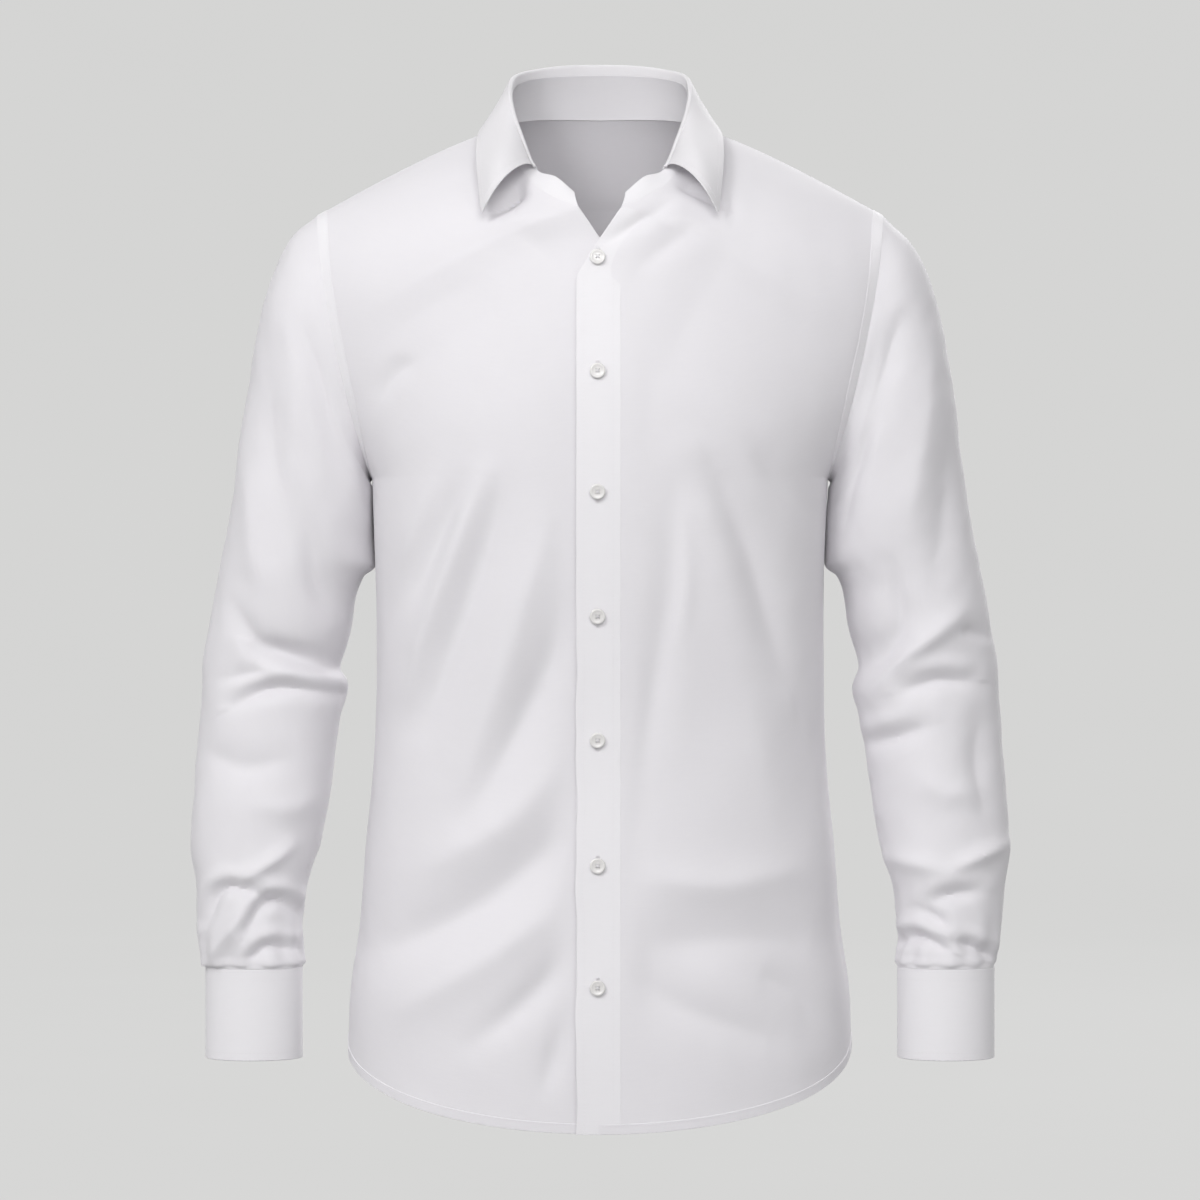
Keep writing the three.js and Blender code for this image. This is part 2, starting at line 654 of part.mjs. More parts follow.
// The panels that are sewn edge to edge
const leftFront = frontGrid(LEFT_OVERLAP, 1);
const rightFront = frontGrid(RIGHT_OVERLAP, -1);
const halfBack = halfBackGrid();
const halfYoke = halfYokeGrid(leftFront[leftFront.length - 1], halfBack[halfBack.length - 1]);
const stiff = { thickness: STIFF_CLOTH };
const sewn = [
  new Cloth('front_left', leftFront, { ...body }),
  new Cloth('front_right', rightFront, { ...body, flip: true }),
  new Cloth('back', bothHalves(halfBack), { ...body, flip: true }),
  new Cloth('yoke', bothHalves(halfYoke), {}),
  new Cloth('sleeve_left', sleeveGrid(), { closed: true, flip: true }),
  new Cloth('sleeve_right', mirrorGrid(sleeveGrid()), { closed: true }),
  new Cloth('collar_stand', bothHalves(halfStandGrid()), { ...stiff, flip: true }),
  new Cloth('collar_fall', bothHalves(halfFallGrid()), { ...stiff, flip: true }),
];
sewTogether(sewn);

// The bands that lie on a panel, made from its points moved out
function bandOn(name, cloth, rows, columns) {
  const part = (cells) => rows.map((i) => columns.map((j) => cells[i][j]));
  const band = new Cloth(name, part(cloth.grid), {
    flip: cloth.flip,
    lift: (i, j) => cloth.lift(rows[i], columns[j]) + SEAM_GAP + CLOTH,
  });
  band.normals = part(cloth.normals);
  band.shifts = part(cloth.shifts);
  return band;
}
const range = (from, to) => Array.from({ length: to - from + 1 }, (_, i) => from + i);
const sewnNamed = Object.fromEntries(sewn.map((cloth) => [cloth.name, cloth]));
const placketRows = range(0, PLACKET_ROWS);
const placketColumns = range(0, PLACKET_COLUMNS);
const sleevePlacketColumns = range(lapColumn, lapColumn + CUFF_LAP_COLUMNS);
const cloths = [
  ...sewn,
  bandOn('placket', sewnNamed.front_left, placketRows, placketColumns),
  new Cloth('cuff_left', cuffGrid(), { ...stiff }),
  new Cloth('cuff_right', mirrorGrid(cuffGrid()), { ...stiff, flip: true }),
  ...['left', 'right'].map((side) => bandOn(
    `sleeve_placket_${side}`,
    sewnNamed[`sleeve_${side}`],
    range(...SLEEVE_PLACKET_RINGS),
    sleevePlacketColumns,
  )),
];

// A button with a raised rim and four holes, its back on the level z = 0
async function buttonGeometry() {
  const wasm = await Module();
  wasm.setup();
  const profile = table(
    ['inFromRim', 'height'],
    [
      [BUTTON_RADIUS, 0],
      [0.7, 0],
      [0, 0.9],
      [0.3, 2.1],
      [1.2, BUTTON_THICKNESS],
      [2.2, 1.9],
      [BUTTON_RADIUS, BUTTON_DISH],
    ],
  ).map(({ inFromRim, height }) => new THREE.Vector2(BUTTON_RADIUS - inFromRim, height));
  const disc = new THREE.LatheGeometry(profile, BUTTON_FACETS).rotateX(Math.PI / 2);
  let solid = toManifold(wasm, disc);
  for (let i = 0; i < BUTTON_HOLES; i += 1) {
    const turn = ((i + 0.5) * 2 * Math.PI) / BUTTON_HOLES;
    const hole = new THREE.CylinderGeometry(
      BUTTON_HOLE_RADIUS,
      BUTTON_HOLE_RADIUS,
      BUTTON_HOLE_LENGTH,
      BUTTON_HOLE_FACETS,
    );
    hole.rotateX(Math.PI / 2);
    hole.translate(BUTTON_HOLE_SPREAD * Math.cos(turn), BUTTON_HOLE_SPREAD * Math.sin(turn), 0);
    solid = solid.subtract(toManifold(wasm, hole));
  }
  const mesh = solid.getMesh();
  const geometry = new THREE.BufferGeometry();
  geometry.setAttribute('position', new THREE.BufferAttribute(mesh.vertProperties, 3));
  geometry.setIndex(new THREE.BufferAttribute(mesh.triVerts, 1));
  return geometry;
}

function toManifold(wasm, geometry) {
  const bare = geometry.clone();
  bare.deleteAttribute('normal');
  bare.deleteAttribute('uv');
  const merged = mergeVertices(bare, SAME_POINT);
  const mesh = new wasm.Mesh({
    numProp: 3,
    vertProperties: merged.getAttribute('position').array,
    triVerts: new Uint32Array(merged.getIndex().array),
  });
  return new wasm.Manifold(mesh);
}

// Sets a button on a face, its back just clear of the cloth
function seatButton(name, geometry, place, facing) {
  const mesh = new THREE.Mesh(geometry, new THREE.MeshStandardMaterial(PEARL));
  mesh.name = name;
  mesh.quaternion.setFromUnitVectors(point(0, 0, 1), facing);
  mesh.position.copy(place).addScaledVector(facing, BUTTON_SEAT);
  return mesh;
}

function buttonOnPlacket(name, geometry, z) {
  const band = SEAM_GAP + CLOTH;
  const rim = BUTTON_RADIUS;
  const tilt = (frontDepthAt(z + rim) - frontDepthAt(z - rim)) / (2 * rim);
  const facing = point(0, -1, -tilt).normalize();
  const place = point(BUTTON_ACROSS, -frontDepthAt(z), z).addScaledVector(facing, band);
  return seatButton(name, geometry, place, facing);
}

function buttonOnCuff(name, geometry, side) {
  const turn = radians(CUFF_BUTTON_ANGLE);
  const place = point(
    side * (CUFF_MIDDLE - (CUFF_HALF_WIDTH + CUFF_LAP_LIFT) * Math.cos(turn)),
    CUFF_MIDDLE_Y - (CUFF_HALF_DEPTH + CUFF_LAP_LIFT) * Math.sin(turn),
    (CUFF_TOP + CUFF_BOTTOM) / 2,
  );
  const facing = point(
    (-side * Math.cos(turn)) / CUFF_HALF_WIDTH,
    -Math.sin(turn) / CUFF_HALF_DEPTH,
    0,
  ).normalize();
  return seatButton(name, geometry, place, facing);
}

const shirt = new THREE.Group();
cloths.forEach((cloth) => {
  const mesh = new THREE.Mesh(cloth.geometry(), new THREE.MeshStandardMaterial(WHITE));
  mesh.name = cloth.name;
  shirt.add(mesh);
});
const buttonShape = await buttonGeometry();
BUTTON_HEIGHTS.forEach((z, i) => shirt.add(buttonOnPlacket(`button_${i + 1}`, buttonShape, z)));
shirt.add(buttonOnCuff('button_cuff_left', buttonShape, 1));
shirt.add(buttonOnCuff('button_cuff_right', buttonShape, -1));

export default shirt;
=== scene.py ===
"""Dresses the long sleeve dress shirt: fine cloth, creases, stitching, buttons, light and camera."""

import sys

import logging
import math
from collections.abc import Sequence
from dataclasses import dataclass, field
from enum import Enum
from typing import ClassVar

import bmesh
import bpy
import numpy as np
from mathutils import Matrix, Vector

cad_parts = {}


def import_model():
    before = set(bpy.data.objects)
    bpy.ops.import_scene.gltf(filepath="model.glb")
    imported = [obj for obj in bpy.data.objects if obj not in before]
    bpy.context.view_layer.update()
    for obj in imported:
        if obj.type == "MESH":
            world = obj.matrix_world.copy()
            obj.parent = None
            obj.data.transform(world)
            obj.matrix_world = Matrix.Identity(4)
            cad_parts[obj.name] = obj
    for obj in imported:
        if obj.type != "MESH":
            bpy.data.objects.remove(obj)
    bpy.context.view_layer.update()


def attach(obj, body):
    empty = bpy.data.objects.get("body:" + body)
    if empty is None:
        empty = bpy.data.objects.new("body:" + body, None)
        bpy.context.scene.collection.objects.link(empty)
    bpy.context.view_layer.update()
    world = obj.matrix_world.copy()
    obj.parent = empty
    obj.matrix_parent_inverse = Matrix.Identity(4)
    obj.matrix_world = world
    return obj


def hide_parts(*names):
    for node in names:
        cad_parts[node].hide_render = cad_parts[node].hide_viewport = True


Array = np.ndarray
Colour = tuple[float, float, float]
MM = 0.001
TURN = 360.0
# The radians that a wave texture turns through in one unit at scale 1
WAVE_RATE = 20.0
log = logging.getLogger("shirt")


class Side(Enum):
    """The wearer's side that a piece belongs to, and its sign along X."""

    LEFT = 1
    RIGHT = -1

    @property
    def word(self) -> str:
        """The side's name as the nodes use it."""
        return self.name.lower()


class Edge(Enum):
    """The border of a panel's grid that a line follows."""

    FIRST_ROW = "first row"
    LAST_ROW = "last row"
    FIRST_COLUMN = "first column"
    LAST_COLUMN = "last column"


def mix(a: Array | float, b: Array | float, t: Array | float) -> Array | float:
    """A value between a and b at the share t."""
    return a + (b - a) * t


def ease(x: Array | float, low: float, high: float) -> Array:
    """A smooth step from 0 at low to 1 at high."""
    t = np.clip((np.asarray(x, float) - low) / (high - low), 0.0, 1.0)
    return t * t * (3.0 - 2.0 * t)


def unit(v: Array) -> Array:
    """Vectors brought to length one."""
    return v / np.maximum(np.linalg.norm(v, axis=-1, keepdims=True), 1e-9)


def stack(x: Array, y: Array, z: Array) -> Array:
    """Points from their three coordinates."""
    return np.stack(np.broadcast_arrays(x, y, z), axis=-1).astype(float)


def both_halves(half: Array) -> Array:
    """A grid that starts at the middle, joined to its mirror image."""
    mirrored = half[:, 1:][:, ::-1] * np.array([-1.0, 1.0, 1.0])
    return np.concatenate([mirrored, half], axis=1)


def steps(*parts: tuple[float, float, int]) -> Array:
    """Even steps through several spans, each start, end and count, without repeats."""
    return np.unique(np.concatenate([np.linspace(a, b, n + 1) for a, b, n in parts]))


class Curve:
    """A smooth curve through a table's column."""

    def __init__(self, places: Sequence[float], values: Sequence[float]) -> None:
        """Keeps the places, the values and the slope at each."""
        self.xs = np.array(places, float)
        self.ys = np.array(values, float)
        last = len(self.xs) - 1
        before = np.maximum(np.arange(last + 1) - 1, 0)
        after = np.minimum(np.arange(last + 1) + 1, last)
        self.slopes = (self.ys[after] - self.ys[before]) / (self.xs[after] - self.xs[before])

    def __call__(self, x: Array | float) -> Array:
        """The value at x, held level past the ends.

        Args:
            x: One place or many.

        Returns:
            The curve's values there.
        """
        x = np.asarray(x, float)
        i = np.clip(np.searchsorted(self.xs, x, "right") - 1, 0, len(self.xs) - 2)
        span = self.xs[i + 1] - self.xs[i]
        t = np.clip((x - self.xs[i]) / span, 0.0, 1.0)
        a = self.ys[i] * (1 + 2 * t) * (1 - t) ** 2 + self.slopes[i] * span * t * (1 - t) ** 2
        b = self.ys[i + 1] * t * t * (3 - 2 * t) + self.slopes[i + 1] * span * t * t * (t - 1)
        return a + b


@dataclass
class TorsoForm:
    """The body's sections: height, half width, front depth, back depth and squareness."""

    sections: tuple[tuple[float, ...], ...] = (
        (-770, 192.0, 119, 113, 2.3),
        (-690, 192.0, 119, 114, 2.3),
        (-650, 190.5, 118, 114, 2.3),
        (-600, 183.5, 115, 112, 2.3),
        (-540, 179.0, 112, 107, 2.25),
        (-490, 174.0, 110, 101, 2.25),
        (-440, 171.0, 111, 97, 2.25),
        (-390, 170.5, 115, 98, 2.3),
        (-330, 171.0, 121, 106, 2.35),
        (-262, 174.0, 126, 115, 2.4),
        (-200, 174.0, 126, 120, 2.4),
        (-150, 171.0, 120, 119, 2.4),
        (-110, 171.0, 112, 114, 2.4),
        (-80, 171.0, 105, 107, 2.4),
        (-40, 171.0, 99, 94, 2.4),
    )

    def __post_init__(self) -> None:
        """Makes a curve of each column over the height."""
        height, half_width, front, back, squareness = zip(*self.sections)
        self.half_width = Curve(height, half_width)
        self.front_depth = Curve(height, front)
        self.back_depth = Curve(height, back)
        self.squareness = Curve(height, squareness)

    def depth(self, z: Array, front: bool) -> Array:
        """The signed Y of the middle of the front or back at a height."""
        return -self.front_depth(z) if front else self.back_depth(z)


@dataclass
class SleeveForm:
    """The sleeve's rings: number, outer X and Z, underarm X and Z, half depth and middle Y."""

    rings: tuple[tuple[float, ...], ...] = (
        (0, 216.0, -60, 174.0, -262, 58.0, 0),
        (1, 237.0, -80, 179.0, -267, 58.5, 0),
        (2, 253.0, -112, 178.5, -279, 59.0, 1),
        (3, 263.5, -157, 175.8, -292, 59.5, 2),
        (4, 273.0, -213, 175.0, -307, 59.0, 4),
        (5, 282.5, -285, 177.0, -326, 57.5, 6),
        (6, 291.0, -330, 186.0, -347, 56.5, 8),
        (7, 299.5, -372, 190.5, -374, 56.0, 10),
        (8, 304.5, -400, 196.5, -399, 53.5, 11),
        (9, 305.5, -424, 193.5, -422, 53.5, 10),
        (10, 307.5, -452, 200.0, -450, 51.5, 7),
        (11, 310.0, -492, 205.5, -489, 49.5, 2),
        (12, 313.0, -540, 214.0, -540, 46.5, -5),
        (13, 308.0, -575, 223.5, -573, 43.5, -11),
        (14, 305.5, -603, 227.0, -602, 40.5, -15),
        (15, 302.5, -622, 226.0, -622, 37.0, -18),
        (16, 297.3, -631, 228.7, -631, 31.4, -20),
        (17, 297.3, -640, 228.7, -640, 31.4, -20),
    )
    armhole_bow: float = 5.0
    bow_rings: float = 3.0

    def __post_init__(self) -> None:
        """Makes a curve of each column over the ring number."""
        ring, *columns = zip(*self.rings)
        names = ("outer_x", "outer_z", "inner_x", "inner_z", "half_depth", "middle_y")
        self.curves = {name: Curve(ring, values) for name, values in zip(names, columns)}

    def point(self, ring: Array, angle: Array) -> Array:
        """Points on the left sleeve.

        Args:
            ring: Ring numbers, 0 at the armhole.
            angle: Degrees round the ring from the underarm over the front.

        Returns:
            The points in millimetres.
        """
        at = {name: curve(ring) for name, curve in self.curves.items()}
        turn = np.radians(angle)
        along = -np.cos(turn)
        bow = self.armhole_bow * np.sin(turn) ** 2 * (1 - ease(ring, 0, self.bow_rings))
        half_x = (at["outer_x"] - at["inner_x"]) / 2
        half_z = (at["outer_z"] - at["inner_z"]) / 2
        return stack(
            (at["outer_x"] + at["inner_x"]) / 2 + along * half_x + bow,
            at["middle_y"] - at["half_depth"] * np.sin(turn),
            (at["outer_z"] + at["inner_z"]) / 2 + along * half_z,
        )

    def armhole(self, angle: Array) -> Array:
        """Points on the armhole seam at an angle."""
        return self.point(np.zeros_like(np.asarray(angle, float)), angle)


@dataclass
class CollarForm:
    """The collar's stations: number, then the neck, top, roll and edge points."""

    stations: tuple[tuple[float, ...], ...] = (
        (0, 16, -103, -62, 19, -91, -50, 19, -91, -46, 60, -110, -80),
        (1, 34, -94, -54, 33, -80, -37.5, 34, -81, -35, 80, -106, -76),
        (2, 51, -79, -42, 47.5, -66, -31, 49, -67, -27, 91, -99, -66),
        (3, 66, -54, -24, 58, -50, -9, 59, -50, -3, 93.5, -76, -38),
        (4, 75, -26, -6, 65.5, -29, 13, 66.5, -28, 20, 93, -41, -9),
        (5, 78, 2, 8, 68, -6, 30.5, 69, -5, 38.5, 90, -5, 6),
        (6, 72, 30, 13.5, 64, 20, 43, 65, 21, 51, 84, 31, 8),
        (7, 51, 53, 18.5, 47.5, 42, 50, 48.5, 43, 58, 67, 63, 12),
        (8, 26, 64, 20, 25.5, 53.5, 53, 26, 54.5, 62, 34.5, 75, 14.5),
        (9, 0, 68, 20, 0, 57, 54, 0, 58, 63, 0, 79.5, 15),
        (10, -26, 64, 20, -25.5, 53.5, 53, -26, 54.5, 62, -34.5, 75, 14.5),
    )
    middle: float = 9.0

    def __post_init__(self) -> None:
        """Makes three curves for each of the four lines."""
        number, *columns = zip(*self.stations)
        lines = ("neck", "top", "roll", "edge")
        self.curves = {
            name: [Curve(number, columns[3 * i + axis]) for axis in range(3)]
            for i, name in enumerate(lines)
        }

    def point(self, station: Array, line: str) -> Array:
        """Points of one line at the stations."""
        x, y, z = (curve(station) for curve in self.curves[line])
        return stack(x, y, z)

    def out_of_neck(self, station: Array) -> Array:
        """The level direction away from the neck.

        Args:
            station: Station numbers.

        Returns:
            The directions there, one unit long.
        """
        step = 0.05
        station = np.asarray(station, float)
        run = self.point(station + step, "neck") - self.point(station - step, "neck")
        return unit(stack(run[..., 1], -run[..., 0], np.zeros_like(run[..., 0])))


@dataclass
class BodyForm:
    """The cut of the fronts, back and yoke over the torso, the sleeve and the collar."""

    torso: TorsoForm = field(default_factory=TorsoForm)
    sleeve: SleeveForm = field(default_factory=SleeveForm)
    collar: CollarForm = field(default_factory=CollarForm)
    armpit: float = -262.0
    neck_point: float = -87.0
    placket_turn: float = -114.0
    yoke_seam: float = -48.0
    hem_side: float = -691.0
    hem_front: float = -749.0
    hem_back: float = -768.0
    hem_curve: float = 1.65
    hem_height: float = 7.0
    hem_step: float = 0.8
    hem_rows: float = 2.0
    side_rows: float = 12.0
    placket_width: float = 32.6
    least_end_turn: float = 25.0
    shoulder_angle: float = 172.0
    yoke_angle: float = 228.0
    shoulder_curve: float = 1.2
    back_curve: float = 1.6
    front_columns: float = 10.0
    back_columns: float = 16.0
    band_columns: float = 2.0
    straight_rows: float = 4.0
    front_upper_rows: float = 11.0
    back_upper_rows: float = 8.0
    opening_x: float = -1.0
    shoulder_leave: float = -0.08
    neck_leave: float = 1.1
    leave_soften: float = 2.0
    yoke_end_back: float = 0.35
    yoke_end_down: float = 0.9
    yoke_blend: float = 1.6
    front_neck: tuple[float, ...] = (0, 1, 2, 3, 4, 4.75)
    back_neck: tuple[float, ...] = (9, 8.25, 7.5, 6.8, 6.1, 5.4, 4.75)

    def place(
        self,
        column: Array,
        columns: float,
        band: float,
        inner_x: Array,
        outer: tuple[Array, Array],
        middle_y: Array,
        squareness: Array,
        level: Array | float = 1.0,
    ) -> tuple[Array, Array, Array, Array]:
        """One place of a row that bends round the body.

        Args:
            column: Column numbers.
            columns: The last column's number.
            band: The column at the placket's far edge, or 0 without a placket.
            inner_x: X of the row's inner end.
            outer: X and Y of the row's outer end.
            middle_y: Y of the row at the middle.
            squareness: The power of the section.
            level: 1 where the row stays level across the placket.

        Returns:
            X, Y, the share of the way out and the share of a quarter turn.
        """
        outer_x, outer_y = outer
        start = np.maximum(inner_x, 0.0)
        ratio = np.minimum(np.abs(outer_y / middle_y), 1.0)
        least = math.radians(self.least_end_turn)
        end_turn = np.maximum(np.arccos(ratio ** (squareness / 2)), least)
        end_share = np.sin(end_turn) ** (2 / squareness)

        def turn_at(x: Array) -> Array:
            """The turn at which the row reaches x."""
            share = np.maximum((x - start) / (outer_x - start), 0.0)
            return np.arcsin(np.minimum((share * end_share) ** (squareness / 2), 1.0))

        band_turn = turn_at(inner_x + self.placket_width) if band else 0.0
        turn = mix(band_turn, end_turn, np.maximum(column - band, 0.0) / (columns - band))
        x = start + (outer_x - start) * np.sin(turn) ** (2 / squareness) / end_share
        if band:
            band_x = inner_x + self.placket_width * column / band
            x = np.where(column <= band, band_x, x)
            turn = np.where(column <= band, turn_at(band_x), turn)

        def back_share(angle: Array) -> Array:
            """How far the row has turned back at an angle."""
            return 1 - np.maximum(np.cos(angle), 0.0) ** (2 / squareness)

        y = mix(middle_y, outer_y, back_share(turn) / back_share(end_turn))
        band_edge = inner_x + (self.placket_width * level if band else 0.0)
        share = np.maximum(x - band_edge, 0.0) / (outer_x - band_edge)
        return x, y, share, turn / (math.pi / 2)

    def lower(self, rows: Array, columns: Array, last: float, overlap: float | None) -> Array:
        """The part of a front or the back below the armpit.

        Args:
            rows: Row numbers up from the hem.
            columns: Column numbers out from the middle.
            last: The last column's number.
            overlap: How far a front passes the middle, or None for the back.

        Returns:
            The grid on the wearer's left.
        """
        front = overlap is not None
        band = self.band_columns if front else 0.0
        inner_x = -overlap if front else 0.0
        row, column = rows[:, None], columns[None, :]

        def place_at(z: Array) -> tuple[Array, Array, Array, Array]:
            """The row's places at a height."""
            outer = (self.torso.half_width(z), np.zeros_like(z))
            middle_y = self.torso.depth(z, front)
            squareness = self.torso.squareness(z)
            return self.place(column, last, band, inner_x, outer, middle_y, squareness)

        turn_share = place_at(np.full_like(column, self.hem_front))[3]
        middle = self.hem_front if front else self.hem_back
        hem = mix(middle, self.hem_side, turn_share**self.hem_curve)
        band_top = hem + self.hem_height + self.hem_step
        side = mix(band_top, self.armpit, (row - self.hem_rows) / (self.side_rows - self.hem_rows))
        fold = hem + self.hem_height * np.minimum(row, 1) + self.hem_step * np.maximum(row - 1, 0)
        z = np.where(row < self.hem_rows, fold, side)
        x, y, _, _ = place_at(z)
        return stack(x, y, z)

    def upper_front(self, rows: Array, columns: Array, overlap: float) -> Array:
        """The part of a front above the armpit, up the opening and round the neck.

        Args:
            rows: Row numbers up from the armpit.
            columns: Column numbers out from the front's edge.
            overlap: How far the front passes the middle.

        Returns:
            The grid on the wearer's left.
        """
        k = rows[:, None]
        straight_z = mix(self.armpit, self.placket_turn, np.minimum(k / self.straight_rows, 1))
        straight = stack(-overlap, -self.torso.front_depth(straight_z), straight_z)
        turn = stack(self.opening_x, -self.torso.front_depth(self.neck_point), self.neck_point)
        first = self.straight_rows + 1
        numbers = first + 1 + np.arange(len(self.front_neck))
        neck = self.collar.point(np.interp(k, numbers, self.front_neck), "neck")
        inner = mix(straight, turn, np.clip(k - self.straight_rows, 0, 1)[..., None])
        inner = mix(inner, neck, np.clip(k - first, 0, 1)[..., None])
        outer = self.sleeve.armhole(self.shoulder_angle * k / self.front_upper_rows)
        x, y, share, _ = self.place(
            columns[None, :],
            self.front_columns,
            self.band_columns,
            inner[..., 0],
            (outer[..., 0], outer[..., 1]),
            inner[..., 1],
            self.torso.squareness(inner[..., 2]),
            1 - np.clip(k - first, 0, 1),
        )
        z = mix(inner[..., 2], outer[..., 2], share**self.shoulder_curve)
        return stack(x, y, z)

    def upper_back(self, rows: Array, columns: Array) -> Array:
        """The left half of the back between the armpit and the yoke.

        Args:
            rows: Row numbers up from the armpit.
            columns: Column numbers out from the middle.

        Returns:
            The half's grid.
        """
        share_up = rows[:, None] / self.back_upper_rows
        z = mix(self.armpit, self.yoke_seam, share_up)
        outer = self.sleeve.armhole(mix(TURN, self.yoke_angle, share_up))
        depth = self.torso.back_depth(z)
        x, y, share, _ = self.place(
            columns[None, :],
            self.back_columns,
            0.0,
            np.zeros_like(z),
            (outer[..., 0], outer[..., 1]),
            depth,
            self.torso.squareness(z),
        )
        return stack(x, y, mix(z, outer[..., 2], share**self.back_curve))

    def half_yoke(self, shares: Array, columns: Array) -> Array:
        """The left half of the yoke, from the neck and shoulder seam to the back seam.

        Args:
            shares: Shares of the way back.
            columns: Column numbers out from the middle.

        Returns:
            The half's grid.
        """
        neck_columns = len(self.back_neck) - 1
        stations = np.interp(columns, np.arange(neck_columns + 1), self.back_neck)
        neck = self.collar.point(stations, "neck")
        top = np.array([self.front_upper_rows])
        shoulder = self.upper_front(top, np.maximum(columns - neck_columns, 0), 0.0)[0]
        start = np.where((columns <= neck_columns)[:, None], neck, shoulder)
        end = self.upper_back(np.array([self.back_upper_rows]), columns)[0]
        run = np.linalg.norm(end - start, axis=-1)
        at_neck = 1 - ease(columns, 0, neck_columns + self.leave_soften)
        slope = mix(self.shoulder_leave, self.neck_leave, at_neck)
        across = end[:, 0] - start[:, 0]
        leave = stack(across, run * np.cos(slope), -run * np.sin(slope))
        arrive = stack(across, run * self.yoke_end_back, -run * self.yoke_end_down)
        t = shares[:, None, None]
        grid = (
            start * (1 + 2 * t) * (1 - t) ** 2
            + leave * t * (1 - t) ** 2
            + end * t * t * (3 - 2 * t)
            + arrive * t * t * (t - 1)
        )
        seam = self.sleeve.armhole(mix(self.shoulder_angle, self.yoke_angle, shares))
        blend = ease(columns, self.back_columns - self.yoke_blend, self.back_columns)
        return grid + (seam - grid[:, -1])[:, None, :] * blend[None, :, None]


@dataclass(frozen=True)
class Crease:
    """A soft trough or ridge through a few places, seen from one side, in millimetres."""

    places: tuple[tuple[float, float], ...]
    width: float
    depth: float
    bank: float = 0.0
    boost: ClassVar[float] = 2.5
    pieces: ClassVar[int] = 8
    reach: ClassVar[float] = 4.0
    ends: ClassVar[tuple[float, float]] = (0.07, 0.93)
    taper: ClassVar[float] = 0.8
    power: ClassVar[float] = 1.6
    bank_at: ClassVar[float] = 1.8
    bank_width: ClassVar[float] = 1.15

    def line(self) -> Array:
        """The crease's run as a smooth line of short pieces.

        Returns:
            Places along it, one a row.
        """
        points = np.array(self.places, float)
        spans = len(points) - 1
        share = np.linspace(0, spans, self.pieces * spans + 1)
        number = range(len(points))
        return np.stack([Curve(number, points[:, axis])(share) for axis in (0, 1)], axis=-1)

    def height(self, flat: Array) -> Array:
        """How far the crease moves the cloth out.

        Args:
            flat: Places as seen from the crease's side, one a row.

        Returns:
            The heights in millimetres, below nought in a trough.
        """
        line = self.line()
        reach = self.reach * self.width
        near = np.all((flat > line.min(0) - reach) & (flat < line.max(0) + reach), axis=1)
        out = np.zeros(len(flat))
        if not near.any():
            return out
        place = flat[near][:, None, :]
        start, run = line[:-1][None], np.diff(line, axis=0)[None]
        along = np.clip(((place - start) * run).sum(-1) / (run**2).sum(-1), 0, 1)
        gap = place - (start + run * along[..., None])
        distance = np.linalg.norm(gap, axis=-1)
        best = distance.argmin(1)
        pick = np.arange(len(best))
        side = run[0, best, 0] * gap[pick, best, 1] - run[0, best, 1] * gap[pick, best, 0]
        share = (best + along[pick, best]) / run.shape[1]
        off = distance[pick, best] * np.sign(side) / self.width
        taper = np.sin(math.pi * mix(*self.ends, share)) ** self.taper
        trough = np.exp(-(np.abs(off) ** self.power))
        bank_off = (off - self.bank_at * np.sign(self.bank)) / self.bank_width
        bank = abs(self.bank) * np.exp(-(bank_off**2))
        out[near] = self.depth * taper * (trough - bank)
        return out


@dataclass(frozen=True)
class Ripple:
    """A slow unevenness of the cloth in all directions, the same each run."""

    seed: int
    height: float
    shortest: float
    longest: float
    waves: int = 16

    def at(self, places: Array) -> Array:
        """The unevenness at places on the cloth.

        Args:
            places: Points in millimetres.

        Returns:
            The height at each.
        """
        rng = np.random.default_rng(self.seed)
        direction = unit(rng.normal(size=(self.waves, 3)))
        length = rng.uniform(self.shortest, self.longest, self.waves)
        phase = rng.uniform(0, 2 * math.pi, self.waves)
        turns = places @ (direction * (2 * math.pi / length)[:, None]).T + phase
        return self.height * np.sin(turns).sum(-1) / math.sqrt(self.waves)


def relief(grid: Array, creases: Sequence[Crease]) -> Array:
    """The sum of the creases over a grid, as seen along Y.

    Args:
        grid: The cloth's points.
        creases: The creases, placed in X and Z.

    Returns:
        The height at each point of the grid.
    """
    flat = grid[..., [0, 2]].reshape(-1, 2)
    total = np.zeros(len(flat))
    for crease in creases:
        total += crease.height(flat)
    return Crease.boost * total.reshape(grid.shape[:2])


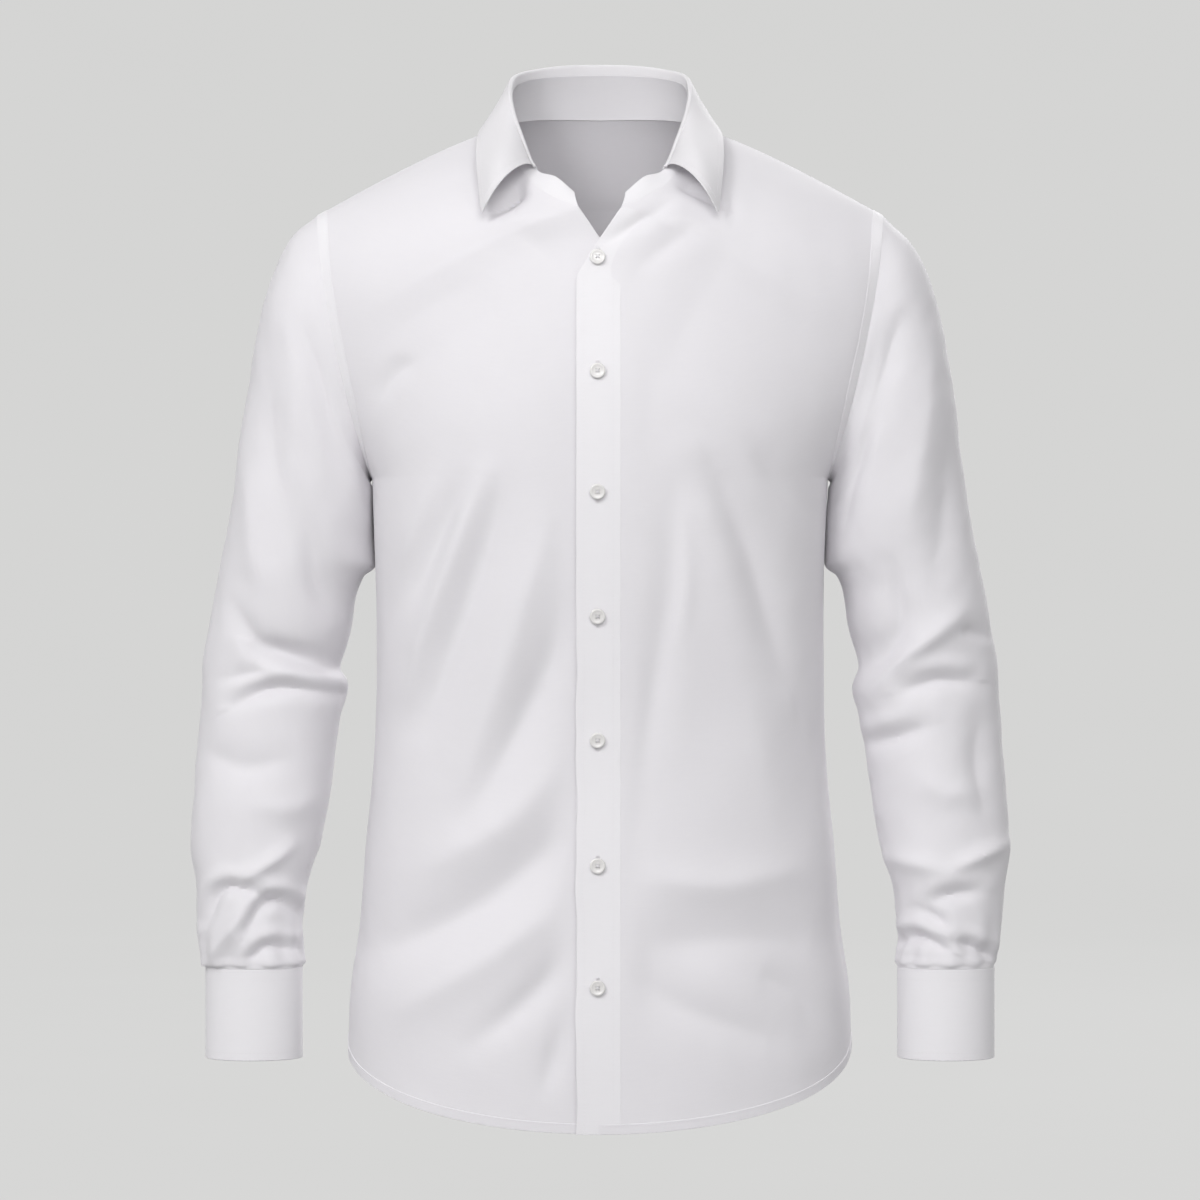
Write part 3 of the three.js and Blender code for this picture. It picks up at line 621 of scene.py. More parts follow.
@dataclass
class Panel:
    """A cloth surface as a fine grid in millimetres, with the way it faces."""

    grid: Array
    flip: bool = False
    closed: bool = False

    def __post_init__(self) -> None:
        """Works out the normals."""
        self.normals = self.face()

    def face(self) -> Array:
        """The normals of the grid as it is now.

        Returns:
            One unit vector for each point.
        """
        if self.closed:
            across = np.roll(self.grid, -1, axis=1) - np.roll(self.grid, 1, axis=1)
        else:
            across = np.gradient(self.grid, axis=1)
        up = np.gradient(self.grid, axis=0)
        return unit(np.cross(across, up)) * (-1.0 if self.flip else 1.0)

    def push(self, height: Array) -> None:
        """Moves the cloth out by a height at each place and faces it again."""
        self.grid = self.grid + self.normals * height[..., None]
        self.normals = self.face()

    def sample(self, rows: Array, columns: Array) -> tuple[Array, Array]:
        """Points and normals between the grid's own.

        Args:
            rows: Row places, whole or between.
            columns: Column places, whole or between.

        Returns:
            The points and the normals there.
        """
        rows, columns = np.broadcast_arrays(np.asarray(rows, float), np.asarray(columns, float))
        height, width = self.grid.shape[:2]
        i = np.clip(np.floor(rows).astype(int), 0, height - 2)
        s = (rows - i)[..., None]
        if self.closed:
            j = np.floor(columns).astype(int) % width
            t = (columns - np.floor(columns))[..., None]
            k = (j + 1) % width
        else:
            j = np.clip(np.floor(columns).astype(int), 0, width - 2)
            t = (columns - j)[..., None]
            k = j + 1

        def blend(values: Array) -> Array:
            """The values between four neighbours."""
            low = mix(values[i, j], values[i, k], t)
            return mix(low, mix(values[i + 1, j], values[i + 1, k], t), s)

        return blend(self.grid), unit(blend(self.normals))

    def beside(self, edge: Edge, distance: float) -> tuple[Array, Array]:
        """The places of a line that keeps its distance from an edge.

        Args:
            edge: The edge.
            distance: The distance in millimetres.

        Returns:
            The line's row places and column places.
        """
        height, width = self.grid.shape[:2]
        by_column = edge in (Edge.FIRST_COLUMN, Edge.LAST_COLUMN)
        lines = self.grid if by_column else self.grid.swapaxes(0, 1)
        backwards = edge in (Edge.LAST_COLUMN, Edge.LAST_ROW)
        lines = lines[:, ::-1] if backwards else lines
        run = np.linalg.norm(np.diff(lines, axis=1), axis=-1).cumsum(1)
        run = np.concatenate([np.zeros((len(run), 1)), run], axis=1)
        numbers = np.arange(run.shape[1])
        place = np.array([np.interp(distance, line, numbers) for line in run])
        place = run.shape[1] - 1 - place if backwards else place
        own = np.arange(height if by_column else width, dtype=float)
        return (own, place) if by_column else (place, own)


def new_object(name: str, points: Array, faces: list, material: bpy.types.Material) -> bpy.types.Object:
    """A mesh object in the scene from points in millimetres.

    Args:
        name: The piece's name.
        points: One point a row.
        faces: Tuples of point numbers.
        material: Its finish.

    Returns:
        The new object.
    """
    mesh = bpy.data.meshes.new(name)
    mesh.from_pydata((np.asarray(points) * MM).tolist(), [], faces)
    mesh.materials.append(material)
    mesh.update()
    piece = bpy.data.objects.new(name, mesh)
    bpy.context.scene.collection.objects.link(piece)
    return piece


@dataclass
class Shell:
    """A thin closed wall of cloth on a panel, with rounded rims."""

    panel: Panel
    thickness: float
    lift: Array | float = 0.0
    rim_round: float = 0.35
    sharp_angle: float = 50.0

    def rims(self, rows: int, columns: int) -> list[list[tuple[int, int]]]:
        """The loops of grid places along the free borders.

        Args:
            rows: The number of rows.
            columns: The number of columns.

        Returns:
            One list of rows and columns for each loop.
        """
        if self.panel.closed:
            return [[(i, j) for j in range(columns)] for i in (0, rows - 1)]
        loop = [(0, j) for j in range(columns)]
        loop += [(i, columns - 1) for i in range(1, rows)]
        loop += [(rows - 1, j) for j in range(columns - 2, -1, -1)]
        loop += [(i, 0) for i in range(rows - 2, 0, -1)]
        return [loop]

    def build(self, name: str, material: bpy.types.Material) -> bpy.types.Object:
        """Makes the wall as one mesh object.

        Args:
            name: The piece's name.
            material: Its finish.

        Returns:
            The new piece.
        """
        panel = self.panel
        rows, columns = panel.grid.shape[:2]
        lift = np.broadcast_to(np.asarray(self.lift, float), (rows, columns))[..., None]
        outer = panel.grid + panel.normals * lift
        inner = outer - panel.normals * self.thickness
        count = rows * columns
        number = np.arange(count).reshape(rows, columns)
        if panel.closed:
            number = np.concatenate([number, number[:, :1]], axis=1)
        a, b = number[:-1, :-1], number[:-1, 1:]
        c, d = number[1:, 1:], number[1:, :-1]
        front = np.stack([a, b, c, d], axis=-1).reshape(-1, 4)
        faces = front.tolist() + (front[:, ::-1] + count).tolist()
        points = [outer.reshape(-1, 3), inner.reshape(-1, 3)]
        places = [np.arange(count), np.arange(count)]
        base = 2 * count
        for loop in self.rims(rows, columns):
            i, j = np.array(loop).T
            behind_i = np.clip(i, 1, rows - 2)
            behind_j = j if panel.closed else np.clip(j, 1, columns - 2)
            outward = unit(outer[i, j] - outer[behind_i, behind_j])
            middle = (outer[i, j] + inner[i, j]) / 2 + outward * self.thickness * self.rim_round
            points.append(middle)
            own = i * columns + j
            places.append(own)
            after = np.roll(own, -1)
            ring = base + np.arange(len(loop))
            ring_after = np.roll(ring, -1)
            faces += np.stack([own, ring, ring_after, after], axis=-1).tolist()
            faces += np.stack([ring, own + count, after + count, ring_after], axis=-1).tolist()
            base += len(loop)
        piece = new_object(name, np.concatenate(points), faces, material)
        self.face_out(piece.data)
        self.lay_weave(piece.data, np.concatenate(places))
        return piece

    def face_out(self, mesh: bpy.types.Mesh) -> None:
        """Turns the faces outward and smooths all but the rims.

        Args:
            mesh: The wall's mesh.
        """
        work = bmesh.new()
        work.from_mesh(mesh)
        bmesh.ops.recalc_face_normals(work, faces=work.faces)
        work.to_mesh(mesh)
        work.free()
        mesh.polygons.foreach_set("use_smooth", [True] * len(mesh.polygons))
        mesh.set_sharp_from_angle(angle=math.radians(self.sharp_angle))

    def lay_weave(self, mesh: bpy.types.Mesh, places: Array) -> None:
        """Gives the cloth its thread directions as a map in metres.

        Args:
            mesh: The wall's mesh.
            places: The grid place of each of its points.
        """
        grid = self.panel.grid
        rows, columns = grid.shape[:2]
        across = np.linalg.norm(np.diff(grid, axis=1), axis=-1).cumsum(1)
        across = np.concatenate([np.zeros((rows, 1)), across], axis=1)
        across -= across[:, [columns // 2]]
        along = np.linalg.norm(np.diff(grid, axis=0), axis=-1).cumsum(0)
        along = np.concatenate([np.zeros((1, columns)), along], axis=0)
        flat = np.stack([across, along], axis=-1).reshape(-1, 2)[places] * MM
        corner = np.empty(len(mesh.loops), dtype=int)
        mesh.loops.foreach_get("vertex_index", corner)
        layer = mesh.uv_layers.new(name="threads")
        layer.data.foreach_set("uv", flat[corner].ravel())


def own_noise(
    nodes: bpy.types.Nodes,
    links: bpy.types.NodeLinks,
    scale: float,
    detail: float = 2.0,
) -> bpy.types.Node:
    """Noise fixed to the piece.

    Args:
        nodes: The material's nodes.
        links: Its links.
        scale: The noise's scale, in turns a metre.
        detail: How many finer layers it has.

    Returns:
        The noise.
    """
    place = nodes.new("ShaderNodeTexCoord")
    noise = nodes.new("ShaderNodeTexNoise")
    noise.inputs["Scale"].default_value = scale
    noise.inputs["Detail"].default_value = detail
    links.new(place.outputs["Object"], noise.inputs["Vector"])
    return noise


def two_tones(
    nodes: bpy.types.Nodes,
    links: bpy.types.NodeLinks,
    noise: bpy.types.Node,
    low: Colour,
    high: Colour,
) -> bpy.types.NodeSocket:
    """Two colours that a noise mixes.

    Args:
        nodes: The material's nodes.
        links: Its links.
        noise: What mixes them.
        low: The colour where the noise is low.
        high: The colour where it is high.

    Returns:
        The mixed colour's socket.
    """
    tint = nodes.new("ShaderNodeMix")
    tint.data_type = "RGBA"
    tint.inputs["A"].default_value = (*low, 1.0)
    tint.inputs["B"].default_value = (*high, 1.0)
    links.new(noise.outputs["Fac"], tint.inputs["Factor"])
    return tint.outputs["Result"]


def bump(
    nodes: bpy.types.Nodes,
    links: bpy.types.NodeLinks,
    height: bpy.types.NodeSocket,
    strength: float,
    distance: float,
) -> bpy.types.Node:
    """Fine relief.

    Args:
        nodes: The material's nodes.
        links: Its links.
        height: The socket that gives the relief.
        strength: Its strength.
        distance: Its height in metres.

    Returns:
        The relief's node.
    """
    made = nodes.new("ShaderNodeBump")
    made.inputs["Strength"].default_value = strength
    made.inputs["Distance"].default_value = distance
    links.new(height, made.inputs["Height"])
    return made


@dataclass(frozen=True)
class PoplinFinish:
    """White cotton poplin: two fine sets of threads with faint slubs and a soft sheen."""

    name: str = "poplin"
    colour: Colour = (0.875, 0.858, 0.885)
    shade: Colour = (0.85, 0.832, 0.862)
    roughness: float = 0.82
    sheen: float = 0.25
    sheen_roughness: float = 0.45
    through: float = 0.14
    thread_pitch: float = 0.00042
    thread_wander: float = 0.6
    weave_strength: float = 0.22
    weave_height: float = 0.00008
    slub_strength: float = 0.1
    slub_height: float = 0.0004
    slub_stretch: Colour = (60.0, 900.0, 1.0)
    slub_detail: float = 4.0

    def material(self) -> bpy.types.Material:
        """Builds the cloth's material.

        Returns:
            The material.
        """
        material = bpy.data.materials.new(self.name)
        material.use_nodes = True
        nodes, links = material.node_tree.nodes, material.node_tree.links
        shader = nodes["Principled BSDF"]
        shader.inputs["Roughness"].default_value = self.roughness
        shader.inputs["Sheen Weight"].default_value = self.sheen
        shader.inputs["Sheen Roughness"].default_value = self.sheen_roughness
        threads = nodes.new("ShaderNodeUVMap")
        threads.uv_map = "threads"
        bands = []
        for direction in ("X", "Y"):
            wave = nodes.new("ShaderNodeTexWave")
            wave.bands_direction = direction
            wave.inputs["Scale"].default_value = math.tau / (WAVE_RATE * self.thread_pitch)
            wave.inputs["Distortion"].default_value = self.thread_wander
            wave.inputs["Detail"].default_value = 1.0
            links.new(threads.outputs["UV"], wave.inputs["Vector"])
            bands.append(wave)
        weave = nodes.new("ShaderNodeMath")
        weave.operation = "MAXIMUM"
        links.new(bands[0].outputs["Fac"], weave.inputs[0])
        links.new(bands[1].outputs["Fac"], weave.inputs[1])
        slub = self.slub_noise(nodes, links, threads)
        tint = two_tones(nodes, links, slub, self.shade, self.colour)
        links.new(tint, shader.inputs["Base Color"])
        fine = bump(nodes, links, weave.outputs["Value"], self.weave_strength, self.weave_height)
        coarse = bump(nodes, links, slub.outputs["Fac"], self.slub_strength, self.slub_height)
        links.new(coarse.outputs["Normal"], fine.inputs["Normal"])
        links.new(fine.outputs["Normal"], shader.inputs["Normal"])
        passing = nodes.new("ShaderNodeBsdfTranslucent")
        links.new(tint, passing.inputs["Color"])
        both = nodes.new("ShaderNodeMixShader")
        both.inputs["Fac"].default_value = self.through
        links.new(shader.outputs["BSDF"], both.inputs[1])
        links.new(passing.outputs["BSDF"], both.inputs[2])
        links.new(both.outputs["Shader"], nodes["Material Output"].inputs["Surface"])
        return material

    def slub_noise(
        self,
        nodes: bpy.types.Nodes,
        links: bpy.types.NodeLinks,
        threads: bpy.types.Node,
    ) -> bpy.types.Node:
        """Noise drawn out along the weft, for its thicker threads.

        Args:
            nodes: The material's nodes.
            links: Its links.
            threads: The node that gives the thread directions.

        Returns:
            The noise.
        """
        stretch = nodes.new("ShaderNodeMapping")
        stretch.inputs["Scale"].default_value = self.slub_stretch
        noise = nodes.new("ShaderNodeTexNoise")
        noise.inputs["Scale"].default_value = 1.0
        noise.inputs["Detail"].default_value = self.slub_detail
        links.new(threads.outputs["UV"], stretch.inputs["Vector"])
        links.new(stretch.outputs["Vector"], noise.inputs["Vector"])
        return noise


@dataclass(frozen=True)
class PearlFinish:
    """Pearly white buttons with faint clouds and a polished coat."""

    name: str = "pearl"
    colour: Colour = (0.79, 0.775, 0.765)
    cloud: Colour = (0.67, 0.655, 0.645)
    roughness: float = 0.28
    coat: float = 0.5
    coat_roughness: float = 0.12
    cloud_scale: float = 420.0
    cloud_detail: float = 3.0

    def material(self) -> bpy.types.Material:
        """Builds the buttons' material.

        Returns:
            The material.
        """
        material = bpy.data.materials.new(self.name)
        material.use_nodes = True
        nodes, links = material.node_tree.nodes, material.node_tree.links
        shader = nodes["Principled BSDF"]
        shader.inputs["Roughness"].default_value = self.roughness
        shader.inputs["Coat Weight"].default_value = self.coat
        shader.inputs["Coat Roughness"].default_value = self.coat_roughness
        clouds = own_noise(nodes, links, self.cloud_scale, self.cloud_detail)
        tint = two_tones(nodes, links, clouds, self.cloud, self.colour)
        links.new(tint, shader.inputs["Base Color"])
        return material


@dataclass(frozen=True)
class ThreadFinish:
    """White sewing thread with a slight twist."""

    name: str = "sewing_thread"
    colour: Colour = (0.86, 0.845, 0.875)
    shade: Colour = (0.80, 0.785, 0.81)
    roughness: float = 0.6
    sheen: float = 0.3
    twist_scale: float = 1500.0

    def material(self) -> bpy.types.Material:
        """Builds the thread's material.

        Returns:
            The material.
        """
        material = bpy.data.materials.new(self.name)
        material.use_nodes = True
        nodes, links = material.node_tree.nodes, material.node_tree.links
        shader = nodes["Principled BSDF"]
        shader.inputs["Roughness"].default_value = self.roughness
        shader.inputs["Sheen Weight"].default_value = self.sheen
        twist = own_noise(nodes, links, self.twist_scale)
        tint = two_tones(nodes, links, twist, self.shade, self.colour)
        links.new(tint, shader.inputs["Base Color"])
        return material


@dataclass(frozen=True)
class PaperFinish:
    """The pale, even studio paper behind and under the shirt."""

    name: str = "studio_paper"
    colour: Colour = (0.665, 0.665, 0.658)
    grain: Colour = (0.655, 0.655, 0.648)
    own_light: float = 0.98
    reflected: float = 0.03
    grain_scale: float = 3.0

    def material(self) -> bpy.types.Material:
        """Builds the paper's material.

        Returns:
            The material.
        """
        material = bpy.data.materials.new(self.name)
        material.use_nodes = True
        nodes, links = material.node_tree.nodes, material.node_tree.links
        shader = nodes["Principled BSDF"]
        shader.inputs["Base Color"].default_value = (*[self.reflected] * 3, 1.0)
        shader.inputs["Roughness"].default_value = 1.0
        shader.inputs["Specular IOR Level"].default_value = 0.0
        shader.inputs["Emission Strength"].default_value = self.own_light
        grain = own_noise(nodes, links, self.grain_scale)
        tint = two_tones(nodes, links, grain, self.grain, self.colour)
        links.new(tint, shader.inputs["Emission Color"])
        return material


@dataclass
class Finishes:
    """The materials that the pieces share."""

    def __post_init__(self) -> None:
        """Builds each finish once."""
        self.poplin = PoplinFinish().material()
        self.doubled = PoplinFinish(
            name="poplin_doubled",
            colour=(0.885, 0.87, 0.895),
            shade=(0.865, 0.85, 0.875),
            through=0.07,
        ).material()
        # A darker copy of the poplin for the collar fall: painted shade that dims its leaves where the
        # lights fall on them.
        self.turned = PoplinFinish(
            name="poplin_turned_painted_shade",
            colour=(0.805, 0.79, 0.812),
            shade=(0.785, 0.77, 0.792),
            through=0.06,
        ).material()
        self.pearl = PearlFinish().material()
        self.thread = ThreadFinish().material()


@dataclass
class Stitching:
    """Rows of small sewn stitches, joined into one mesh for each row group."""

    material: bpy.types.Material
    length: float = 2.3
    gap: float = 0.8
    radius: float = 0.13
    sunk: float = 0.06
    sides: ClassVar[int] = 4
    profile: ClassVar[tuple[tuple[float, float], ...]] = (
        (-0.5, 0.35),
        (-0.22, 1.0),
        (0.22, 1.0),
        (0.5, 0.35),
    )

    def __post_init__(self) -> None:
        """Starts without stitches."""
        self.points: list[Array] = []
        self.faces: list[Array] = []
        self.count = 0

    def template(self) -> tuple[Array, Array]:
        """One stitch along X with Z up.

        Returns:
            Its points and its faces.
        """
        sides = self.sides
        points = []
        for along, size in self.profile:
            for side in range(sides):
                turn = math.pi / 4 + 2 * math.pi * side / sides
                points.append((along, size * math.cos(turn), size * math.sin(turn)))
        faces = [tuple(range(sides)), tuple(range(len(points) - 1, len(points) - sides - 1, -1))]
        for ring in range(len(self.profile) - 1):
            for side in range(sides):
                a, b = ring * sides + side, ring * sides + (side + 1) % sides
                faces.append((a, a + sides, b + sides, b))
        return np.array(points), np.array(faces)

    def lay(self, centre: Array, along: Array, normal: Array, length: float, radius: float) -> None:
        """Adds one stitch at each centre.

        Args:
            centre: Where the stitches are.
            along: The way each runs.
            normal: The way the cloth faces there.
            length: The stitches' length.
            radius: The thread's radius.
        """
        shape, faces = self.template()
        across = unit(np.cross(normal, along))
        up = unit(np.cross(along, across))
        points = (
            centre[:, None, :]
            + shape[None, :, 0, None] * length * along[:, None, :]
            + shape[None, :, 1, None] * radius * across[:, None, :]
            + shape[None, :, 2, None] * radius * up[:, None, :]
        )
        numbers = self.count + np.arange(len(centre)) * len(shape)
        self.points.append(points.reshape(-1, 3))
        self.faces.append((faces[None] + numbers[:, None, None]).reshape(-1, 4))
        self.count += len(centre) * len(shape)

    def row(self, points: Array, normals: Array) -> None:
        """Adds a row of stitches along a line on the cloth.

        Args:
            points: The line.
            normals: The way the cloth faces along it.
        """
        run = np.concatenate([[0.0], np.linalg.norm(np.diff(points, axis=0), axis=1).cumsum()])
        pitch = self.length + self.gap
        centres = np.arange(pitch / 2, run[-1] - pitch / 2, pitch)
        if not len(centres):
            return

        def at(values: Array, place: Array) -> Array:
            """Values at a length along the line."""
            return np.stack([np.interp(place, run, values[:, axis]) for axis in range(3)], axis=-1)

        half = self.length / 2
        along = unit(at(points, centres + half) - at(points, centres - half))
        normal = unit(at(normals, centres))
        raised = at(points, centres) + normal * (self.radius - self.sunk)
        self.lay(raised, along, normal, self.length, self.radius)

    def beside(
        self,
        panel: Panel,
        edge: Edge,
        distance: float,
        lift: Array | float = 0.0,
        keep: tuple[float, float] = (0.0, 1.0),
    ) -> None:
        """Adds a row at a distance from a panel's edge.

        Args:
            panel: The cloth that is sewn.
            edge: The edge that the row follows.
            distance: How far from it.
            lift: How far above the panel's grid the cloth's face is.
            keep: The shares of the edge between which the row runs.
        """
        rows, columns = panel.beside(edge, distance)
        first, last = (int(round(share * (len(rows) - 1))) for share in keep)
        points, normals = panel.sample(rows[first : last + 1], columns[first : last + 1])
        self.row(points + normals * lift, normals)

    def build(self, name: str) -> bpy.types.Object:
        """Joins the stitches into a piece.

        Args:
            name: The piece's name.

        Returns:
            The new piece.
        """
        faces = [tuple(face) for face in np.concatenate(self.faces).tolist()]
        piece = new_object(name, np.concatenate(self.points), faces, self.material)
        piece.data.polygons.foreach_set("use_smooth", [True] * len(piece.data.polygons))
        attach(piece, "root")
        log.info("%s: %d stitches", name, self.count // (self.sides * len(self.profile)))
        return piece


@dataclass(frozen=True)
class Cut:
    """A piece's flat cut: its width and length in metres, and its area where it isn't a rectangle."""

    width: float
    length: float
    area: float


def settle(
    piece: bpy.types.Object,
    nodes: Sequence[str],
) -> None:
    """Ties a cloth piece to the frame and hides the CAD nodes that it stands for.

    Args:
        piece: The cloth.
        nodes: The CAD nodes that it stands for.
    """
    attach(piece, "root")
    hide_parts(*nodes)
    log.info("%s: %d faces", piece.name, len(piece.data.polygons))


def edge_strip(
    panel: Panel,
    edge: Edge,
    width: float,
    lift: float,
    keep: tuple[float, float],
) -> Panel:
    """A strip of turned cloth along a panel's edge.

    Args:
        panel: The cloth that carries it.
        edge: The edge that it follows.
        width: The strip's width.
        lift: How far its face stands above the panel's grid.
        keep: The shares of the edge between which it runs.

    Returns:
        The strip as a panel of its own.
    """
    start, count = 0.15, 5
    lines = []
    for distance in np.linspace(start, width, count):
        rows, columns = panel.beside(edge, float(distance))
        first, last = (int(round(share * (len(rows) - 1))) for share in keep)
        points, normals = panel.sample(rows[first : last + 1], columns[first : last + 1])
        lines.append(points + normals * lift)
    grid = np.stack(lines)
    made = Panel(grid)
    aligned = (made.normals[-1] * normals).sum()
    return made if aligned > 0 else Panel(grid, flip=True)


@dataclass
class Body:
    """The two fronts, the back, the yoke and the placket band."""

    form: BodyForm
    finishes: Finishes
    cloth: float = 0.6
    left_overlap: float = 17.4
    right_overlap: float = 14.0
    underlap_depth: float = 2.8
    underlap_flat: float = 24.0
    underlap_end: float = 75.0
    hem_lift: float = 0.5
    felled_width: float = 8.6
    felled_cut: float = 10.0
    felled_lift: float = 0.35
    felled_cloth: float = 0.32
    placket_gap: float = 0.15
    placket_thickness: float = 0.55
    placket_far: float = 0.22
    placket_sink: float = 0.75
    sink_heights: tuple[float, float] = (-135, -95)
    placket_lines: int = 17
    wander_heights: tuple[float, float] = (-430, -300)
    wander_power: float = 3.0
    wander_waves: tuple[tuple[float, float, float], ...] = ((0.55, 17.0, 0.0), (0.35, 7.3, 1.0))
    lift_wave: tuple[float, float, float] = (0.5, 23.0, 0.7)
    flat_reach: tuple[float, float] = (15, 40)
    opening_rows: tuple[float, float] = (4.0, 4.8)
    neck_rows: tuple[float, float] = (5.2, 6.0)
    neck_seam_columns: float = 0.9
    front_sewn: tuple[float, float] = (0.8, 1.4)
    back_sewn: tuple[float, float] = (1.4, 1.0)
    underlap_rows: tuple[float, float] = (5, 6)
    edge_row: float = 1.6
    band_row: float = 5.5
    hem_row: float = 6.0
    yoke_row: float = 6.5
    felled_row: float = 7.2
    armhole_row: float = 7.6
    hem_rows: tuple[float, ...] = (0.0, 0.33, 0.66, 0.93, 1.0, 1.3, 2.0)
    lower_rows: int = 140
    front_rows: tuple[tuple[float, float, int], ...] = ((0, 4, 44), (4, 6, 16), (6, 11, 40))
    front_steps: tuple[tuple[float, float, int], ...] = ((0, 2, 12), (2, 10, 70))
    back_rows: int = 76
    back_steps: int = 70
    yoke_rows: int = 34
    yoke_steps: tuple[tuple[float, float, int], ...] = ((0, 6, 30), (6, 16, 56))
    front_creases: tuple[Crease, ...] = (
        Crease(((-122, -262), (-136, -300), (-149, -338)), 9, 1.6),
        Crease(((-104, -268), (-121, -310), (-143, -356)), 11, -2.6),
        Crease(((-88, -262), (-112, -330), (-144, -425)), 11, 3.4),
        Crease(((-74, -272), (-96, -345), (-134, -448)), 13, -3.6),
        Crease(((-40, -300), (-64, -380), (-98, -490)), 16, 2.8),
        Crease(((-22, -366), (-56, -440), (-98, -514)), 14, -3.0),
        Crease(((-26, -470), (-70, -520), (-130, -556)), 15, 2.0),
        Crease(((-22, -526), (-92, -580), (-168, -618)), 18, -4.4),
        Crease(((-30, -580), (-88, -624), (-150, -662)), 15, 2.2),
        Crease(((-22, -616), (-52, -648), (-92, -682)), 11, -2.6),
        Crease(((-20, -655), (-30, -684), (-40, -715)), 8, -2.2),
        Crease(((-140, -176), (-154, -184), (-166, -206)), 7, -1.3),
        Crease(((84, -258), (112, -318), (138, -408)), 13, -3.0, -0.35),
        Crease(((114, -240), (134, -266), (164, -296)), 9, -1.3),
        Crease(((56, -262), (54, -338), (38, -432), (20, -526)), 14, -1.8),
        Crease(((62, -290), (64, -340), (60, -380)), 7, 1.3),
        Crease(((96, -380), (120, -470), (146, -540)), 17, 0.9),
        Crease(((30, -612), (92, -606), (160, -612)), 24, -2.7),
        Crease(((16, -626), (62, -656), (126, -680)), 15, -2.0),
        Crease(((30, -560), (90, -566), (150, -556)), 15, 1.8),
        Crease(((120, -630), (150, -650), (172, -690)), 14, -2.2),
        Crease(((52, -57), (31, -72), (8, -86)), 5, -1.7),
        Crease(((76, -72), (48, -92), (20, -114)), 9, -1.1),
        Crease(((-70, -78), (-44, -92), (-14, -124)), 10, -0.9),
        Crease(((50, -33), (66, -44), (96, -60)), 5, -2.6),
        Crease(((-52, -32), (-62, -49), (-83, -66)), 5.5, -4.6),
        Crease(((40, -66), (66, -73), (92, -80)), 7, 0.7),
        Crease(((-40, -66), (-66, -73), (-90, -80)), 7, 0.7),
        Crease(((-100, -96), (-60, -140), (-26, -210)), 18, 0.6),
        Crease(((98, -90), (64, -150), (30, -230)), 18, -0.6),
    )
    back_creases: tuple[Crease, ...] = (
        Crease(((-60, -70), (-66, -180), (-58, -300)), 20, 2.2),
        Crease(((64, -66), (60, -170), (66, -290)), 19, 2.0),
        Crease(((-20, -300), (-70, -370), (-140, -440)), 18, -3.2),
        Crease(((24, -290), (66, -380), (136, -446)), 17, -3.4),
        Crease(((-110, -300), (-60, -345), (-14, -372)), 13, 2.2),
        Crease(((112, -296), (64, -338), (10, -360)), 13, 2.0),
        Crease(((-150, -500), (-40, -545), (80, -540)), 20, -3.0),
        Crease(((-60, -590), (40, -600), (150, -570)), 18, 2.6),
        Crease(((-130, -640), (-40, -672), (60, -680)), 18, -2.6),
        Crease(((60, -640), (110, -670), (160, -660)), 15, -2.2),
        Crease(((-148, -200), (-130, -240), (-100, -268)), 11, -2.6),
        Crease(((146, -204), (126, -246), (98, -270)), 12, -2.6),
    )
    front_cut: Cut = Cut(0.268, 0.735, 0.158)
    back_cut: Cut = Cut(0.475, 0.725, 0.305)
    yoke_cut: Cut = Cut(0.47, 0.155, 0.046)
    placket_cut: Cut = Cut(0.033, 0.705, 0.0232)

    def __post_init__(self) -> None:
        """Works out the panels."""
        self.front_columns = steps(*self.front_steps)
        self.side_rows = np.concatenate(
            [np.array(self.hem_rows), np.linspace(2, self.form.side_rows, self.lower_rows + 1)[1:]]
        )
        self.upper_rows = steps(*self.front_rows)[1:]
        self.ripple = Ripple(seed=11, height=0.6, shortest=70, longest=190)
        self.crumple = Ripple(seed=27, height=0.16, shortest=16, longest=44, waves=28)
        self.fronts = {
            Side.LEFT: self.front(Side.LEFT),
            Side.RIGHT: self.front(Side.RIGHT),
        }
        self.back = self.back_panel()
        self.yoke = self.yoke_panel()
        self.placket = self.placket_panel()

    def hem_height(self, count: int) -> Array:
        """The lift of the turned hem in each row.

        Args:
            count: The number of rows.

        Returns:
            The lifts, up from the hem.
        """
        lift = np.zeros(count)
        turned = np.array(self.hem_rows)
        fold, flat = 1.0, 1.3
        lift[: len(turned)] = self.hem_lift * (1 - ease(turned, fold, flat))
        return lift

    def front(self, side: Side) -> Panel:
        """One front with its creases.

        Args:
            side: Which of the two.

        Returns:
            The panel.
        """
        overlap = self.left_overlap if side is Side.LEFT else self.right_overlap
        lower = self.form.lower(
            self.side_rows, self.front_columns, self.form.front_columns, overlap
        )
        upper = self.form.upper_front(self.upper_rows, self.front_columns, overlap)
        grid = np.concatenate([lower, upper])
        k = np.concatenate([np.zeros(len(self.side_rows)), self.upper_rows])[:, None]
        if side is Side.RIGHT:
            near = 1 - ease(grid[..., 0], self.underlap_flat, self.underlap_end)
            grid[..., 1] += self.underlap_depth * near * (1 - ease(k, *self.underlap_rows))
        free = self.free_share(k, np.abs(grid[..., 0]))
        grid[..., 0] *= side.value
        panel = Panel(grid, flip=side is Side.RIGHT)
        last, top = self.form.front_columns, self.form.front_upper_rows
        side_sewn, top_sewn = self.front_sewn
        sewn = (1 - ease(self.front_columns, last - side_sewn, last))[None, :]
        sewn = sewn * (1 - ease(k, top - top_sewn, top))
        height = relief(grid, self.front_creases) + self.ripple.at(grid) + self.crumple.at(grid)
        panel.push(height * sewn * free)
        return panel

